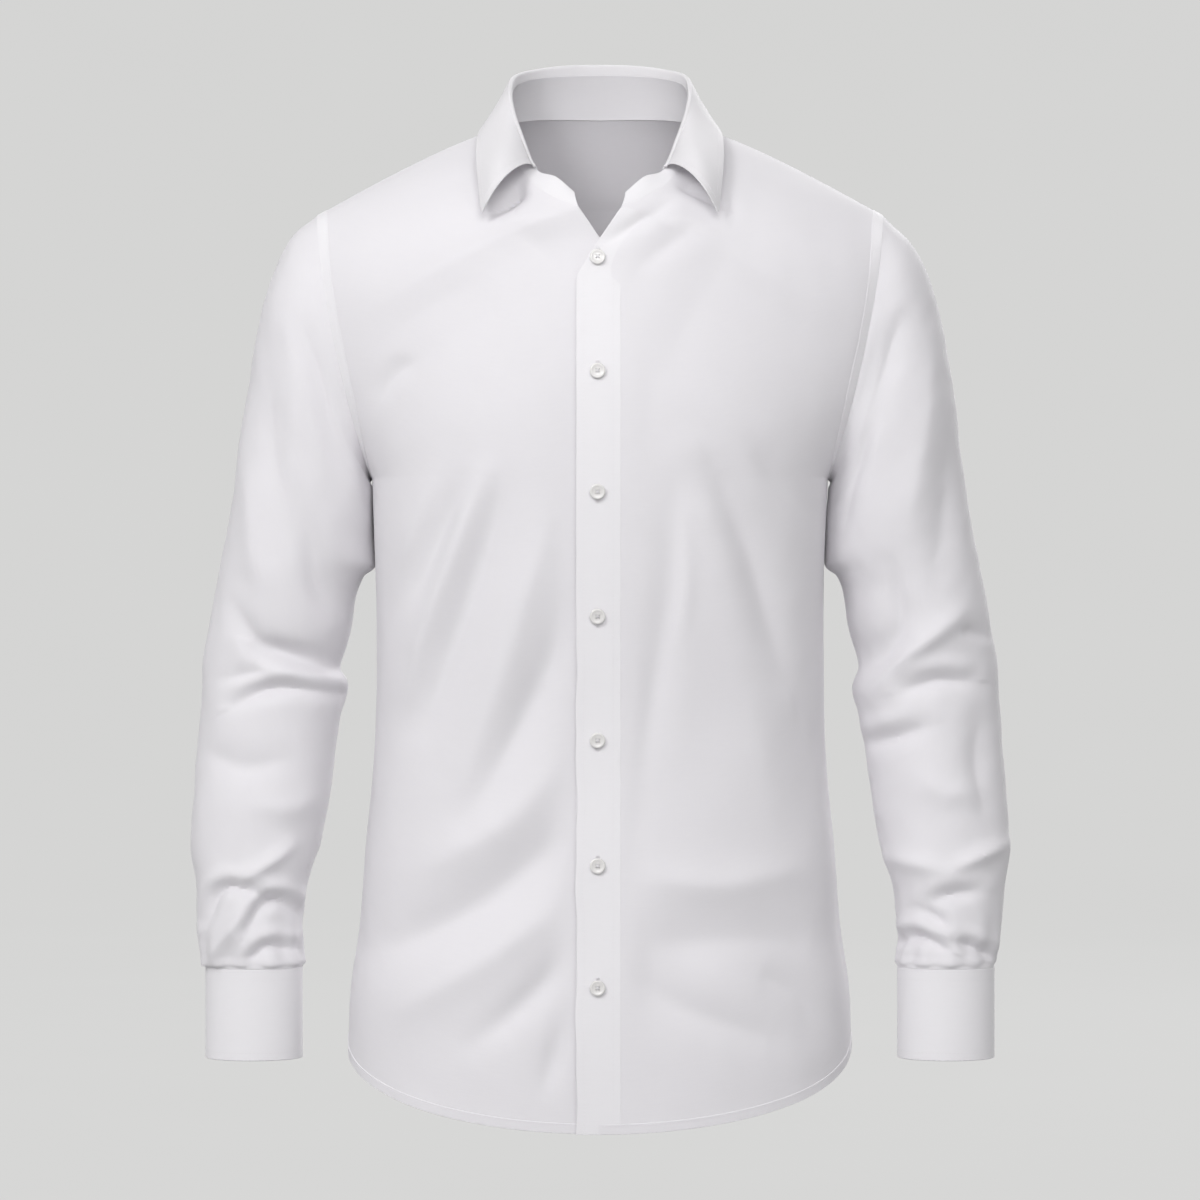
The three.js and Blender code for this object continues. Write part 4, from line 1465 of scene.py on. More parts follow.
    def free_share(self, k: Array, away: Array) -> Array:
        """How far a front's inner edge is free to fold: flat at the buttons, held at the neck.

        Args:
            k: Row numbers above the armpit.
            away: Distances from the middle.

        Returns:
            The share of each fold that is kept.
        """
        opened = ease(k, *self.opening_rows)
        held = ease(k, *self.neck_rows)
        seam = ease(self.front_columns, 0.0, self.neck_seam_columns)[None, :]
        return mix(ease(away, *self.flat_reach), mix(1.0, seam, held), opened)

    def back_panel(self) -> Panel:
        """The back with its creases.

        Returns:
            The panel.
        """
        last, top = self.form.back_columns, self.form.back_upper_rows
        columns = steps((0, last, self.back_steps))
        rows = steps((0, top, self.back_rows))[1:]
        lower = self.form.lower(self.side_rows, columns, self.form.back_columns, None)
        half = np.concatenate([lower, self.form.upper_back(rows, columns)])
        panel = Panel(both_halves(half), flip=True)
        across = np.abs(np.linspace(-last, last, panel.grid.shape[1]))[None, :]
        k = np.concatenate([np.zeros(len(self.side_rows)), rows])[:, None]
        side_sewn, top_sewn = self.back_sewn
        sewn = (1 - ease(across, last - side_sewn, last)) * (1 - ease(k, top - top_sewn, top))
        height = relief(panel.grid, self.back_creases) + self.ripple.at(panel.grid)
        height += self.crumple.at(panel.grid)
        panel.push(height * sewn)
        return panel

    def yoke_panel(self) -> Panel:
        """The yoke over both shoulders."""
        half = self.form.half_yoke(steps((0, 1, self.yoke_rows)), steps(*self.yoke_steps))
        return Panel(both_halves(half))

    def placket_panel(self) -> Panel:
        """The band on the left front, its free edge a little uneven.

        Returns:
            The panel.
        """
        front = self.fronts[Side.LEFT]
        top = len(self.side_rows) + int(np.searchsorted(self.upper_rows, self.neck_rows[1]))
        band = int(np.searchsorted(self.front_columns, self.form.band_columns))
        rows = np.arange(top + 1, dtype=float)[:, None]
        columns = np.linspace(0, band, self.placket_lines)[None, :]
        points, normals = front.sample(rows, columns)
        share = np.linspace(0, 1, self.placket_lines)[None, :, None]
        lift = mix(self.placket_gap + self.placket_thickness, self.placket_far, share)
        lift = lift - self.placket_sink * share * ease(points[..., 2:], *self.sink_heights)
        panel = Panel(points + normals * lift)
        z = panel.grid[..., 2]
        free = (1 - share[..., 0]) ** self.wander_power * (1 - ease(z, *self.wander_heights))
        wander = sum(size * np.sin(z / run + phase) for size, run, phase in self.wander_waves)
        size, run, phase = self.lift_wave
        panel.grid[..., 0] += wander * free
        panel.grid[..., 1] -= size * (1 + np.sin(z / run + phase)) * free
        panel.normals = panel.face()
        return panel

    def build(self) -> None:
        """Makes the body's pieces and their stitching."""
        poplin = self.finishes.poplin
        hem = self.hem_height(len(self.side_rows) + len(self.upper_rows))[:, None]
        for side, panel in self.fronts.items():
            name = f"front_{side.word}"
            piece = Shell(panel, self.cloth, lift=hem).build(f"{name}_cloth", poplin)
            settle(piece, [name])
        back_hem = self.hem_height(self.back.grid.shape[0])[:, None]
        back = Shell(self.back, self.cloth, lift=back_hem).build("back_cloth", poplin)
        settle(back, ["back"])
        yoke = Shell(self.yoke, self.cloth).build("yoke_cloth", poplin)
        settle(yoke, ["yoke"])
        doubled = self.finishes.doubled
        placket = Shell(self.placket, self.placket_thickness).build("placket_band", doubled)
        settle(placket, ["placket"])
        self.turn_edges()
        self.sew()

    def turn_edges(self) -> None:
        """Lays the turned cloth of the armhole seams and of the yoke's seam on the back."""
        doubled = self.finishes.doubled
        upper = (len(self.side_rows) - 1) / (self.fronts[Side.LEFT].grid.shape[0] - 1)
        behind = (len(self.side_rows) - 1) / (self.back.grid.shape[0] - 1)
        plan = []
        for side, panel in self.fronts.items():
            name = f"front_{side.word}"
            plan.append((f"armhole_{name}", panel, Edge.LAST_COLUMN, (upper, 1.0), name))
        for side, edge in ((Side.LEFT, Edge.LAST_COLUMN), (Side.RIGHT, Edge.FIRST_COLUMN)):
            plan.append((f"armhole_back_{side.word}", self.back, edge, (behind, 1.0), "back"))
            plan.append((f"armhole_yoke_{side.word}", self.yoke, edge, (0.0, 1.0), "yoke"))
        plan.append(("yoke_lower_edge", self.yoke, Edge.LAST_ROW, (0.0, 1.0), "yoke"))
        for name, panel, edge, keep, under in plan:
            turned = edge_strip(panel, edge, self.felled_width, self.felled_lift, keep)
            piece = Shell(turned, self.felled_cloth).build(name, doubled)
            self.finish_strip(piece)

    def finish_strip(self, piece: bpy.types.Object) -> None:
        """Ties a strip of turned cloth to the frame and logs its face count.

        Args:
            piece: The strip.
        """
        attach(piece, "root")
        log.info("%s: %d faces", piece.name, len(piece.data.polygons))

    def sew(self) -> None:
        """Sews the placket, the hems, the armholes and the yoke."""
        thread = self.finishes.thread
        band = Stitching(thread)
        for edge in (Edge.FIRST_COLUMN, Edge.LAST_COLUMN):
            band.beside(self.placket, edge, self.band_row)
        band.build("placket_stitches")
        upper = len(self.side_rows) / self.fronts[Side.LEFT].grid.shape[0]
        body = Stitching(thread)
        for panel in self.fronts.values():
            body.beside(panel, Edge.FIRST_ROW, self.hem_row, self.hem_lift)
            keep = (upper, 1.0)
            body.beside(panel, Edge.LAST_COLUMN, self.armhole_row, self.felled_lift, keep)
        body.build("front_stitches")
        behind = Stitching(thread)
        upper_back = len(self.side_rows) / self.back.grid.shape[0]
        behind.beside(self.back, Edge.FIRST_ROW, self.hem_row, self.hem_lift)
        side_seam = (0.02, upper_back - 0.01)
        for edge in (Edge.FIRST_COLUMN, Edge.LAST_COLUMN):
            keep = (upper_back, 1.0)
            behind.beside(self.back, edge, self.armhole_row, self.felled_lift, keep)
            behind.beside(self.back, edge, self.hem_row, keep=side_seam)
            behind.beside(self.yoke, edge, self.armhole_row, self.felled_lift)
        for distance in (self.edge_row, self.felled_row):
            behind.beside(self.yoke, Edge.LAST_ROW, distance, self.felled_lift)
        neck_share = self.yoke_steps[0][2] / sum(count for _, _, count in self.yoke_steps)
        for keep in ((0.0, 0.5 - neck_share / 2), (0.5 + neck_share / 2, 1.0)):
            for distance in (self.edge_row, self.yoke_row):
                behind.beside(self.yoke, Edge.FIRST_ROW, distance, keep=keep)
        behind.build("back_stitches")


@dataclass
class Sleeve:
    """One sleeve with its sleeve placket, cuff and their stitching."""

    side: Side
    form: SleeveForm
    finishes: Finishes
    creases: tuple[Crease, ...]
    back_creases: tuple[Crease, ...]
    seed: int
    cloth: float = 0.6
    cuff_cloth: float = 1.5
    columns: int = 136
    ring_steps: tuple[tuple[float, float, int], ...] = (
        (0, 2, 20),
        (2, 5, 44),
        (5, 11, 84),
        (11, 15, 54),
        (15, 16, 8),
        (16, 16.4, 6),
        (16.4, 17, 3),
    )
    cuff_top: float = -633.0
    cuff_bottom: float = -701.0
    cuff_middle: tuple[float, float] = (263.0, -20.0)
    cuff_half: tuple[float, float] = (37.0, 34.0)
    lap_lift: float = 2.3
    lap_start: float = 244.5
    lap_end: float = 277.5
    lap_rise: float = 194.4
    cuff_lip: float = 2.7
    body_gap: float = 0.3
    underarm_reach: float = 34.0
    gathers: int = 11
    gather_height: float = 0.9
    gather_rings: tuple[float, float] = (12.8, 15.0)
    free_rings: tuple[float, float] = (0.0, 0.5)
    sewn_rings: tuple[float, float] = (15.6, 16.1)
    front_turn: float = 0.35
    lip_rings: tuple[float, float] = (15.0, 15.6)
    lip_end_rings: tuple[float, float] = (16.12, 16.32)
    against_rings: tuple[float, float] = (0.15, 0.8)
    against_end_rings: tuple[float, float] = (4.9, 5.5)
    cuff_lines: tuple[int, int] = (28, 150)
    opening_rings: tuple[float, float] = (11, 15)
    opening_lines: tuple[int, int] = (50, 12)
    opening_lift: float = 1.2
    opening_cloth: float = 0.8
    crumple_seed: int = 30
    edge_row: float = 1.6
    cuff_hem_row: float = 1.8
    cuff_row: float = 5.5
    cuff_seam_row: float = 8.0
    sleeve_cut: Cut = Cut(0.39, 0.62, 0.188)
    cuff_cut: Cut = Cut(0.245, 0.069, 0.0167)
    placket_cut: Cut = Cut(0.026, 0.133, 0.0034)

    def __post_init__(self) -> None:
        """Works out the panels."""
        rings = steps(*self.ring_steps)
        self.rings = rings
        angles = np.arange(self.columns) * TURN / self.columns
        grid = self.form.point(rings[:, None], angles[None, :])
        grid[..., 0] *= self.side.value
        self.panel = Panel(grid, flip=self.side is Side.LEFT, closed=True)
        turn = np.radians(angles)[None, :]
        front = ease(np.sin(turn), -self.front_turn, self.front_turn)
        free = ease(rings, *self.free_rings) * (1 - ease(rings, *self.sewn_rings))
        ripple = Ripple(seed=self.seed, height=0.6, shortest=40, longest=110)
        crumple_seed = self.seed + self.crumple_seed
        crumple = Ripple(seed=crumple_seed, height=0.2, shortest=14, longest=38, waves=28)
        height = relief(grid, self.creases) * front + relief(grid, self.back_creases) * (1 - front)
        tail = ease(rings, *self.gather_rings)[:, None]
        gather = self.gather_height * tail * np.sin(self.gathers * turn + self.seed)
        height = (height + gather + ripple.at(grid) + crumple.at(grid)) * free[:, None]
        self.panel.push(height + self.lip(rings, turn))
        self.cuff = self.cuff_panel()

    def lip(self, rings: Array, turn: Array) -> Array:
        """How far the sleeve stands out over the cuff's top and against the body.

        Args:
            rings: The ring numbers.
            turn: The angles round the sleeve in radians.

        Returns:
            The extra height at each place.
        """
        over_cuff = self.cuff_lip * ease(rings, *self.lip_rings)
        over_cuff = over_cuff * (1 - ease(rings, *self.lip_end_rings))
        torso = TorsoForm()
        inner_x = self.form.curves["inner_x"](rings)
        gap = inner_x - torso.half_width(self.form.curves["inner_z"](rings)) - self.body_gap
        against = np.maximum(gap, 0.0) * ease(rings, *self.against_rings)
        against = against * (1 - ease(rings, *self.against_end_rings))
        near = np.exp(-((np.degrees(np.arccos(np.cos(turn))) / self.underarm_reach) ** 2))
        return over_cuff[:, None] + against[:, None] * near

    def cuff_panel(self) -> Panel:
        """The cuff as a band whose ends lap at the back.

        Returns:
            The panel.
        """
        rows, columns = self.cuff_lines
        turns = np.linspace(self.lap_start, self.lap_end + TURN, columns)[None, :]
        lift = self.lap_lift * ease(turns, self.lap_rise + TURN, self.lap_start + TURN)
        z = np.linspace(self.cuff_bottom, self.cuff_top, rows)[:, None]
        angle = np.radians(turns)
        middle_x, middle_y = self.cuff_middle
        half_x, half_y = self.cuff_half
        grid = stack(
            self.side.value * (middle_x - (half_x + lift) * np.cos(angle)),
            middle_y - (half_y + lift) * np.sin(angle),
            z,
        )
        return Panel(grid, flip=self.side is Side.RIGHT)

    def placket_panel(self) -> Panel:
        """The strip that binds the sleeve's opening above the cuff.

        Returns:
            The panel.
        """
        row_count, column_count = self.opening_lines
        rings = np.linspace(*self.opening_rings, row_count)
        rows = np.interp(rings, self.rings, np.arange(len(self.rings)))
        columns = np.linspace(self.lap_start, self.lap_end, column_count) * self.columns / TURN
        points, normals = self.panel.sample(rows[:, None], columns[None, :])
        return Panel(points + normals * self.opening_lift, flip=self.panel.flip)

    def build(self) -> None:
        """Makes the sleeve's pieces."""
        word, poplin = self.side.word, self.finishes.poplin
        sleeve = Shell(self.panel, self.cloth).build(f"sleeve_{word}_cloth", poplin)
        settle(sleeve, [f"sleeve_{word}"])
        doubled = self.finishes.doubled
        cuff = Shell(self.cuff, self.cuff_cloth).build(f"cuff_{word}_band", doubled)
        settle(cuff, [f"cuff_{word}"])
        placket = self.placket_panel()
        opening = Shell(placket, self.opening_cloth).build(f"sleeve_placket_{word}_strip", poplin)
        settle(opening, [f"sleeve_placket_{word}"])
        stitches = Stitching(self.finishes.thread)
        stitches.beside(self.cuff, Edge.FIRST_ROW, self.cuff_row)
        stitches.beside(self.cuff, Edge.LAST_ROW, self.cuff_hem_row)
        stitches.beside(self.cuff, Edge.LAST_ROW, self.cuff_seam_row)
        stitches.beside(self.cuff, Edge.LAST_COLUMN, self.cuff_row)
        for edge in (Edge.FIRST_COLUMN, Edge.LAST_COLUMN, Edge.LAST_ROW):
            stitches.beside(placket, edge, self.edge_row)
        stitches.build(f"sleeve_{word}_stitches")


@dataclass
class Collar:
    """The collar stand and the turned fall with its two points."""

    form: CollarForm
    finishes: Finishes
    stand_cloth: float = 1.1
    fall_cloth: float = 1.0
    cad_cloth: float = 1.8
    roll_radius: float = 1.0
    leaf_bow: float = 2.0
    leaf_rise: float = 8.0
    stand_off: float = 15.0
    tip_off: float = 5.0
    tip_in: float = 5.0
    leaf_front: float = 2.0
    leaf_rise_end: float = 4.2
    stand_bow: float = 1.0
    stand_lines: tuple[int, int] = (16, 80)
    fall_columns: int = 84
    tuck_share: float = 0.8
    tuck_rows: int = 5
    roll_rows: int = 9
    leaf_rows: int = 32
    rise_power: float = 0.6
    tip_power: float = 3.0
    neck_row: float = 1.6
    edge_row: float = 6.0
    edge_kept: tuple[float, float] = (0.02, 0.98)
    point_kept: tuple[float, float] = (0.45, 0.93)
    stand_cut: Cut = Cut(0.40, 0.036, 0.0105)
    fall_cut: Cut = Cut(0.40, 0.075, 0.0198)

    def stand_panel(self) -> Panel:
        """The band that stands up round the neck.

        Returns:
            The panel.
        """
        rows, columns = self.stand_lines
        stations = steps((0, self.form.middle, columns))[::-1]
        t = np.linspace(0, 1, rows)[:, None, None]
        neck, top = (self.form.point(stations, line)[None] for line in ("neck", "top"))
        out = self.form.out_of_neck(stations)[None]
        half = mix(neck, top, t) + out * self.stand_bow * 4 * t * (1 - t)
        return Panel(both_halves(half), flip=True)

    def fall_panel(self) -> Panel:
        """The fall's outer face, up from the stand, round the roll and down to its edge.

        Returns:
            The panel.
        """
        stations = steps((self.leaf_front, self.form.middle, self.fall_columns))[::-1]
        out = self.form.out_of_neck(stations)
        up = np.array([0.0, 0.0, 1.0])
        centre = self.form.point(stations, "roll") - up * (self.roll_radius + self.cad_cloth)
        top = self.form.point(stations, "top")
        tucks = np.linspace(0, self.tuck_share, self.tuck_rows)
        rows = [mix(top, centre - out * self.roll_radius, t) for t in tucks]
        for degrees in np.linspace(180, 0, self.roll_rows):
            turn = math.radians(degrees)
            reach = out * self.roll_radius * math.cos(turn)
            rows.append(centre + reach + up * self.roll_radius * math.sin(turn))
        edge = self.form.point(stations, "edge")
        front = (1 - ease(stations, self.leaf_front, self.leaf_rise_end))[:, None]
        begin = rows[-1]
        for t in np.linspace(0, 1, self.leaf_rows + 1)[1:]:
            bow = out * self.leaf_bow * front * math.sin(math.pi * t)
            rise = up * self.leaf_rise * front * math.sin(math.pi * t**self.rise_power)
            forward = self.stand_off * math.sin(math.pi * t) + self.tip_off * t
            lift = np.array([0.0, -1.0, 0.0]) * front * forward
            lift = lift - out * front * self.tip_in * t**self.tip_power
            rows.append(mix(begin, edge, t) + bow + rise + lift)
        under = Panel(both_halves(np.stack(rows)), flip=True)
        return Panel(under.grid - under.normals * self.fall_cloth)

    def build(self) -> None:
        """Makes the collar's pieces and their stitching."""
        stand, fall = self.stand_panel(), self.fall_panel()
        band = Shell(stand, self.stand_cloth).build("collar_stand_band", self.finishes.doubled)
        settle(band, ["collar_stand"])
        # The leaf takes the darker poplin copy, which paints shade onto it.
        leaf = Shell(fall, self.fall_cloth).build("collar_fall_leaf", self.finishes.turned)
        settle(leaf, ["collar_fall"])
        stitches = Stitching(self.finishes.thread)
        stitches.beside(fall, Edge.LAST_ROW, self.edge_row, keep=self.edge_kept)
        for edge in (Edge.FIRST_COLUMN, Edge.LAST_COLUMN):
            stitches.beside(fall, edge, self.edge_row, keep=self.point_kept)
        stitches.beside(stand, Edge.FIRST_ROW, self.neck_row)
        stitches.build("collar_stitches")


@dataclass
class Buttons:
    """The buttons on the placket and cuffs, with their thread and buttonholes."""

    body: Body
    sleeves: Sequence[Sleeve]
    finishes: Finishes
    radius: float = 5.8
    rim: tuple[tuple[float, float], ...] = (
        (2.2, 0.0),
        (0.9, 0.5),
        (0.25, 1.2),
        (0.0, 1.7),
        (0.1, 2.05),
        (0.4, 2.38),
        (0.95, 2.55),
        (1.5, 2.46),
        (1.95, 2.24),
        (2.4, 2.08),
        (3.4, 2.0),
    )
    dish: float = 1.97
    facets: int = 48
    sharp_angle: float = 40.0
    holes: int = 4
    hole_radius: float = 0.55
    hole_facets: int = 14
    hole_length: float = 8.0
    hole_spread: float = 1.5
    thread_height: float = 2.1
    thread_radius: float = 0.24
    thread_past: float = 0.5
    thread_pair: float = 0.28
    thread_cross: float = 0.12
    across: float = -1.8
    heights: tuple[float, ...] = (-100, -185, -274, -366, -458, -551, -641)
    slit: float = 15.5
    slit_half: float = 0.75
    slit_lift: float = 0.08
    slit_stitches: int = 26
    slit_stitch: float = 1.4
    slit_thread: float = 0.22
    cuff_angle: float = 261.0
    seat: float = 0.35

    def disc(self) -> bpy.types.Mesh:
        """A button with a raised round rim, a dished middle and four holes.

        Returns:
            The button's mesh.
        """
        profile = [(0.0, 0.0)]
        profile += [(self.radius - inset, height) for inset, height in self.rim]
        profile.append((0.0, self.dish))
        work = bmesh.new()
        line = [work.verts.new((r * MM, 0.0, h * MM)) for r, h in profile]
        edges = [work.edges.new(pair) for pair in zip(line[:-1], line[1:])]
        bmesh.ops.spin(
            work,
            geom=line + edges,
            axis=(0, 0, 1),
            cent=(0, 0, 0),
            angle=2 * math.pi,
            steps=self.facets,
            use_merge=True,
        )
        bmesh.ops.remove_doubles(work, verts=work.verts, dist=1e-6)
        bmesh.ops.recalc_face_normals(work, faces=work.faces)
        mesh = bpy.data.meshes.new("button_disc")
        work.to_mesh(mesh)
        work.free()
        return self.drill(mesh)

    def drill(self, mesh: bpy.types.Mesh) -> bpy.types.Mesh:
        """Cuts the four holes through the disc.

        Args:
            mesh: The disc.

        Returns:
            The disc with its holes.
        """
        disc = bpy.data.objects.new("button_blank", mesh)
        bpy.context.scene.collection.objects.link(disc)
        drill = bpy.data.meshes.new("button_drill")
        work = bmesh.new()
        for number in range(self.holes):
            turn = math.pi / self.holes + number * math.tau / self.holes
            place = Vector((math.cos(turn), math.sin(turn), 0)) * self.hole_spread * MM
            bmesh.ops.create_cone(
                work,
                cap_ends=True,
                segments=self.hole_facets,
                radius1=self.hole_radius * MM,
                radius2=self.hole_radius * MM,
                depth=self.hole_length * MM,
                matrix=Matrix.Translation(place),
            )
        work.to_mesh(drill)
        work.free()
        cutter = bpy.data.objects.new("button_drill", drill)
        bpy.context.scene.collection.objects.link(cutter)
        cut = disc.modifiers.new("holes", "BOOLEAN")
        cut.operation = "DIFFERENCE"
        cut.object = cutter
        cut.solver = "EXACT"
        graph = bpy.context.evaluated_depsgraph_get()
        made = bpy.data.meshes.new_from_object(disc.evaluated_get(graph))
        for spare in (disc, cutter):
            bpy.data.objects.remove(spare)
        made.name = "button_holed"
        made.materials.clear()
        made.materials.append(self.finishes.pearl)
        made.polygons.foreach_set("use_smooth", [True] * len(made.polygons))
        made.set_sharp_from_angle(angle=math.radians(self.sharp_angle))
        return made

    def seats(self) -> list[tuple[str, Array, Array]]:
        """Finds where the buttons are sewn on.

        Returns:
            The name, place and facing of each.
        """
        found = []
        placket = self.body.placket
        for number, z in enumerate(self.heights, 1):
            gap = np.abs(placket.grid[..., 2] - z) + np.abs(placket.grid[..., 0] - self.across)
            i, j = np.unravel_index(gap.argmin(), gap.shape)
            point = placket.grid[i, j].copy()
            point[0] = self.across
            point[2] = z
            found.append((f"button_{number}", point, placket.normals[i, j]))
        for sleeve in self.sleeves:
            run = sleeve.lap_end + TURN - sleeve.lap_start
            share = (self.cuff_angle + TURN - sleeve.lap_start) / run
            rows, columns = sleeve.cuff.grid.shape[:2]
            point, normal = sleeve.cuff.sample(rows / 2 - 0.5, share * (columns - 1))
            found.append((f"button_cuff_{sleeve.side.word}", point, normal))
        return found

    def build(self) -> None:
        """Seats the buttons, sews them on and works the buttonholes."""
        mesh = self.disc()
        thread = Stitching(self.finishes.thread)
        for name, point, normal in self.seats():
            piece = bpy.data.objects.new(f"{name}_disc", mesh)
            bpy.context.scene.collection.objects.link(piece)
            facing = Vector(normal)
            turn = facing.to_track_quat("Z", "Y").to_matrix().to_4x4()
            piece.matrix_world = Matrix.Translation(Vector(point + normal * self.seat) * MM) @ turn
            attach(piece, "root")
            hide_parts(name)
            log.info("%s: seated", piece.name)
            self.sew(thread, point, normal, np.array(turn.to_3x3()))
            self.buttonhole(thread, point, normal, name.startswith("button_cuff"))
        thread.build("button_threads")

    def sew(self, thread: Stitching, point: Array, normal: Array, turn: Array) -> None:
        """Lays two crossed pairs of threads through the four holes.

        Args:
            thread: Where the threads are kept.
            point: The button's place.
            normal: The way it faces.
            turn: Its rotation.
        """
        height = self.seat + self.thread_height
        length = 2 * self.hole_spread + self.thread_past
        for sign in (1.0, -1.0):
            along = turn @ unit(np.array([1.0, sign, 0.0]))
            centre = point + normal * (height + self.thread_cross * sign)
            for offset in (-self.thread_pair, self.thread_pair):
                place = centre + np.cross(normal, along) * offset
                thread.lay(place[None], along[None], normal[None], length, self.thread_radius)

    def buttonhole(self, thread: Stitching, point: Array, normal: Array, level: bool) -> None:
        """Binds a slit with close stitches under the button.

        Args:
            thread: Where the stitches are kept.
            point: The button's place.
            normal: The way it faces.
            level: Whether the slit runs across, as on a cuff.
        """
        up = np.array([0.0, 0.0, 1.0])
        across = unit(np.cross(up, normal))
        run, over = (across, up) if level else (up, across)
        places = np.linspace(-self.slit / 2, self.slit / 2, self.slit_stitches)
        centre = point + normal * self.slit_lift
        along = np.repeat(over[None], len(places), 0)
        facing = np.repeat(normal[None], len(places), 0)
        for sign in (-1.0, 1.0):
            centres = centre + run * places[:, None] + over * self.slit_half * sign
            thread.lay(centres, along, facing, self.slit_stitch, self.slit_thread)


@dataclass(frozen=True)
class Lamp:
    """A soft square light: its name, place and size in metres, and its power in watts."""

    name: str
    place: Colour
    size: float
    power: float


@dataclass
class Studio:
    """The paper sweep, the soft lights and the camera at the photograph's viewing angle."""

    distance: float = 3.5
    eye_height: float = -0.354
    lens: float = 137.25
    sensor: float = 36.0
    floor_height: float = -0.92
    sweep_start: float = 4.6
    sweep_radius: float = 1.4
    half_width: float = 9.0
    near_end: float = -40.0
    wall_height: float = 7.0
    sweep_rows: int = 16
    brightest: Colour = (-0.55, -0.35, 0.76)
    dim_side: float = 0.35
    bright_side: float = 0.62
    lamps: tuple[Lamp, ...] = (
        Lamp("key", (-1.9, -3.0, 1.9), 1.0, 50.0),
        Lamp("front", (0.3, -3.5, 1.2), 2.0, 18.5),
        Lamp("neck", (0.1, -2.0, 0.9), 0.9, 11.0),
        Lamp("back", (1.3, 3.0, 1.5), 1.2, 75.0),
    )

    def camera(self) -> None:
        """Makes the camera and hands it to the scene."""
        data = bpy.data.cameras.new("camera")
        data.lens = self.lens
        data.sensor_width = self.sensor
        camera = bpy.data.objects.new("camera", data)
        camera.location = (0.0, -self.distance, self.eye_height)
        camera.rotation_euler = (math.pi / 2, 0.0, 0.0)
        bpy.context.scene.collection.objects.link(camera)
        bpy.context.scene.camera = camera
        bpy.context.scene.view_settings.view_transform = "Standard"

    def paper(self) -> None:
        """Lays the floor that sweeps up behind the shirt."""
        line = [(self.near_end, self.floor_height), (self.sweep_start, self.floor_height)]
        for share in np.linspace(0, 1, self.sweep_rows + 1)[1:]:
            turn = share * math.pi / 2
            back = self.sweep_start + self.sweep_radius * math.sin(turn)
            height = self.floor_height + self.sweep_radius * (1 - math.cos(turn))
            line.append((back, height))
        line.append((line[-1][0], self.wall_height))
        points = [(x, y, z) for y, z in line for x in (-self.half_width, self.half_width)]
        faces = [(2 * i, 2 * i + 1, 2 * i + 3, 2 * i + 2) for i in range(len(line) - 1)]
        sweep = new_object("studio_floor", np.array(points) / MM, faces, PaperFinish().material())
        sweep.data.polygons.foreach_set("use_smooth", [True] * len(faces))
        sweep.visible_diffuse = False

    def light(self, lamp: Lamp) -> None:
        """Adds one light that faces the shirt's middle.

        Args:
            lamp: The light.
        """
        data = bpy.data.lights.new(lamp.name, "AREA")
        data.size = lamp.size
        data.energy = lamp.power
        made = bpy.data.objects.new(lamp.name, data)
        made.location = lamp.place
        aim = Vector((0.0, 0.0, self.eye_height)) - Vector(lamp.place)
        made.rotation_euler = aim.to_track_quat("-Z", "Y").to_euler()
        bpy.context.scene.collection.objects.link(made)

    def world(self) -> None:
        """Sets a pale light from all round, strongest from above on the left."""
        world = bpy.data.worlds.new("studio")
        world.use_nodes = True
        nodes, links = world.node_tree.nodes, world.node_tree.links
        place = nodes.new("ShaderNodeTexCoord")
        toward = nodes.new("ShaderNodeVectorMath")
        toward.operation = "DOT_PRODUCT"
        toward.inputs[1].default_value = self.brightest
        level = nodes.new("ShaderNodeMapRange")
        level.inputs["From Min"].default_value = -1.0
        level.inputs["To Min"].default_value = self.dim_side
        level.inputs["To Max"].default_value = self.bright_side
        links.new(place.outputs["Generated"], toward.inputs[0])
        links.new(toward.outputs["Value"], level.inputs["Value"])
        links.new(level.outputs["Result"], nodes["Background"].inputs["Color"])
        bpy.context.scene.world = world

    def build(self) -> None:
        """Sets up the studio."""
        self.paper()
        self.world()
        for lamp in self.lamps:
            self.light(lamp)
        log.info("studio: set")


RIGHT_SLEEVE_CREASES = (
    Crease(((-282, -414), (-262, -409), (-248, -407)), 6, -2.2),
    Crease(((-276, -433), (-258, -423), (-234, -420), (-190, -426)), 6.5, -3.6, 0.4),
    Crease(((-278, -358), (-258, -388), (-228, -400)), 9, -2.6),
    Crease(((-256, -388), (-226, -398), (-192, -408)), 8, -3.6, -0.4),
    Crease(((-272, -566), (-252, -554), (-232, -538)), 6, 2.6),
    Crease(((-296, -596), (-290, -577), (-277, -570), (-249, -578)), 5, -3.0, 0.4),
    Crease(((-266, -602), (-257, -586), (-242, -580), (-229, -590)), 5, -3.2, 0.4),
    Crease(((-264, -626), (-250, -615), (-229, -618)), 5, -2.6, 0.4),
    Crease(((-296, -630), (-280, -606), (-260, -584)), 7, 2.4),
    Crease(((-224, -148), (-206, -200), (-192, -256)), 10, -2.8),
    Crease(((-206, -190), (-192, -240), (-182, -292)), 8, 2.4),
    Crease(((-252, -170), (-248, -240), (-232, -310)), 13, -2.0),
    Crease(((-270, -250), (-262, -310), (-254, -352)), 12, 1.8),
    Crease(((-220, -300), (-214, -340), (-196, -372)), 10, -2.4),
    Crease(((-296, -470), (-270, -480), (-236, -474)), 10, -1.8),
    Crease(((-212, -500), (-236, -512), (-262, -508)), 11, 1.6),
)
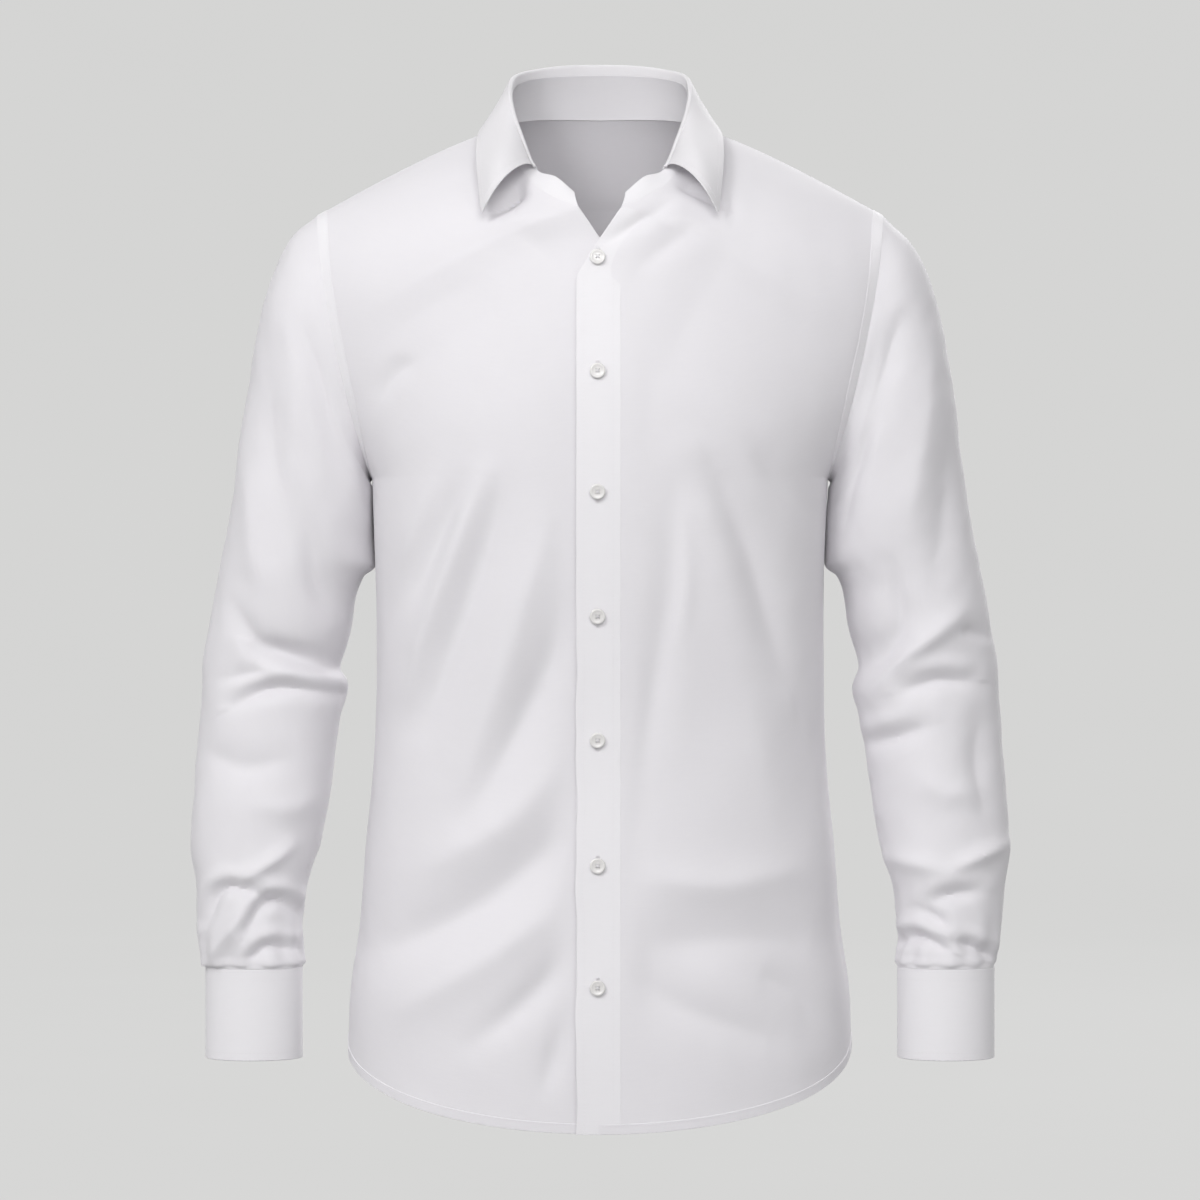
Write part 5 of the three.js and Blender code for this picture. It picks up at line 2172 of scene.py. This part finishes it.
LEFT_SLEEVE_CREASES = (
    Crease(((230, -422), (254, -415), (281, -416)), 6.5, -2.8, 0.4),
    Crease(((204, -424), (240, -390), (274, -362)), 9, 3.2),
    Crease(((202, -464), (222, -458), (244, -450)), 7, -2.8, 0.35),
    Crease(((274, -378), (284, -378), (296, -382)), 5, -2.0),
    Crease(((249, -581), (264, -576), (284, -574)), 5.5, -2.6, 0.35),
    Crease(((216, -549), (240, -553), (264, -560)), 8, 2.0),
    Crease(((308, -539), (288, -547), (266, -557)), 6, 2.6),
    Crease(((222, -618), (238, -608), (262, -618)), 5, -2.8, 0.4),
    Crease(((268, -611), (282, -616), (297, -624)), 5, -2.6, 0.35),
    Crease(((241, -587), (250, -592), (260, -598)), 5, -2.2),
    Crease(((226, -146), (206, -200), (190, -258)), 9, -2.8),
    Crease(((214, -170), (198, -226), (186, -280)), 7, 2.6),
    Crease(((200, -230), (190, -268), (184, -304)), 6, -2.4),
    Crease(((250, -160), (244, -230), (232, -300)), 13, 1.8),
    Crease(((268, -220), (262, -290), (252, -340)), 13, -1.8),
    Crease(((222, -330), (226, -372), (214, -404)), 9, -2.2),
    Crease(((290, -440), (286, -476), (292, -520)), 10, -1.6),
    Crease(((236, -486), (262, -500), (288, -498)), 11, 1.6),
)
BACK_SLEEVE_CREASES = (
    Crease(((192, -404), (226, -414), (262, -402)), 8, -3.0, 0.35),
    Crease(((204, -436), (240, -444), (280, -432)), 8, -3.2, 0.35),
    Crease(((216, -372), (250, -384), (288, -370)), 9, 2.4),
    Crease(((226, -548), (256, -560), (290, -552)), 7, -2.6, 0.35),
    Crease(((228, -588), (250, -580), (282, -592)), 6, 2.4),
    Crease(((240, -606), (262, -600), (290, -610)), 5, -2.4),
    Crease(((224, -150), (212, -210), (198, -270)), 12, -2.6),
    Crease(((258, -190), (250, -260), (240, -320)), 14, 2.0),
    Crease(((270, -470), (262, -500), (266, -530)), 12, -1.8),
)


def mirrored(creases: Sequence[Crease]) -> tuple[Crease, ...]:
    """Like creases for the wearer's other side, moved and widened a little.

    Args:
        creases: The creases of one side.

    Returns:
        The creases of the other side.
    """
    inward, spread, raised, widened = 0.99, 1.012, 4.0, 1.08
    made = []
    for crease in creases:
        places = tuple((-x * inward, z * spread + raised) for x, z in crease.places)
        made.append(Crease(places, crease.width * widened, crease.depth, -crease.bank))
    return tuple(made)


def main() -> None:
    """Loads the frame and builds each sub-assembly in order."""
    logging.basicConfig(level=logging.INFO, format="%(name)s: %(message)s", stream=sys.stdout)
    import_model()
    studio = Studio()
    studio.camera()
    finishes = Finishes()
    form = BodyForm()
    body = Body(form, finishes)
    body.build()
    sleeves = [
        Sleeve(Side.LEFT, form.sleeve, finishes, LEFT_SLEEVE_CREASES, BACK_SLEEVE_CREASES, seed=3),
        Sleeve(
            Side.RIGHT,
            form.sleeve,
            finishes,
            RIGHT_SLEEVE_CREASES,
            mirrored(BACK_SLEEVE_CREASES),
            seed=8,
        ),
    ]
    for sleeve in sleeves:
        sleeve.build()
    Collar(form.collar, finishes).build()
    Buttons(body, sleeves, finishes).build()
    studio.build()


if __name__ == "__main__":
    main()
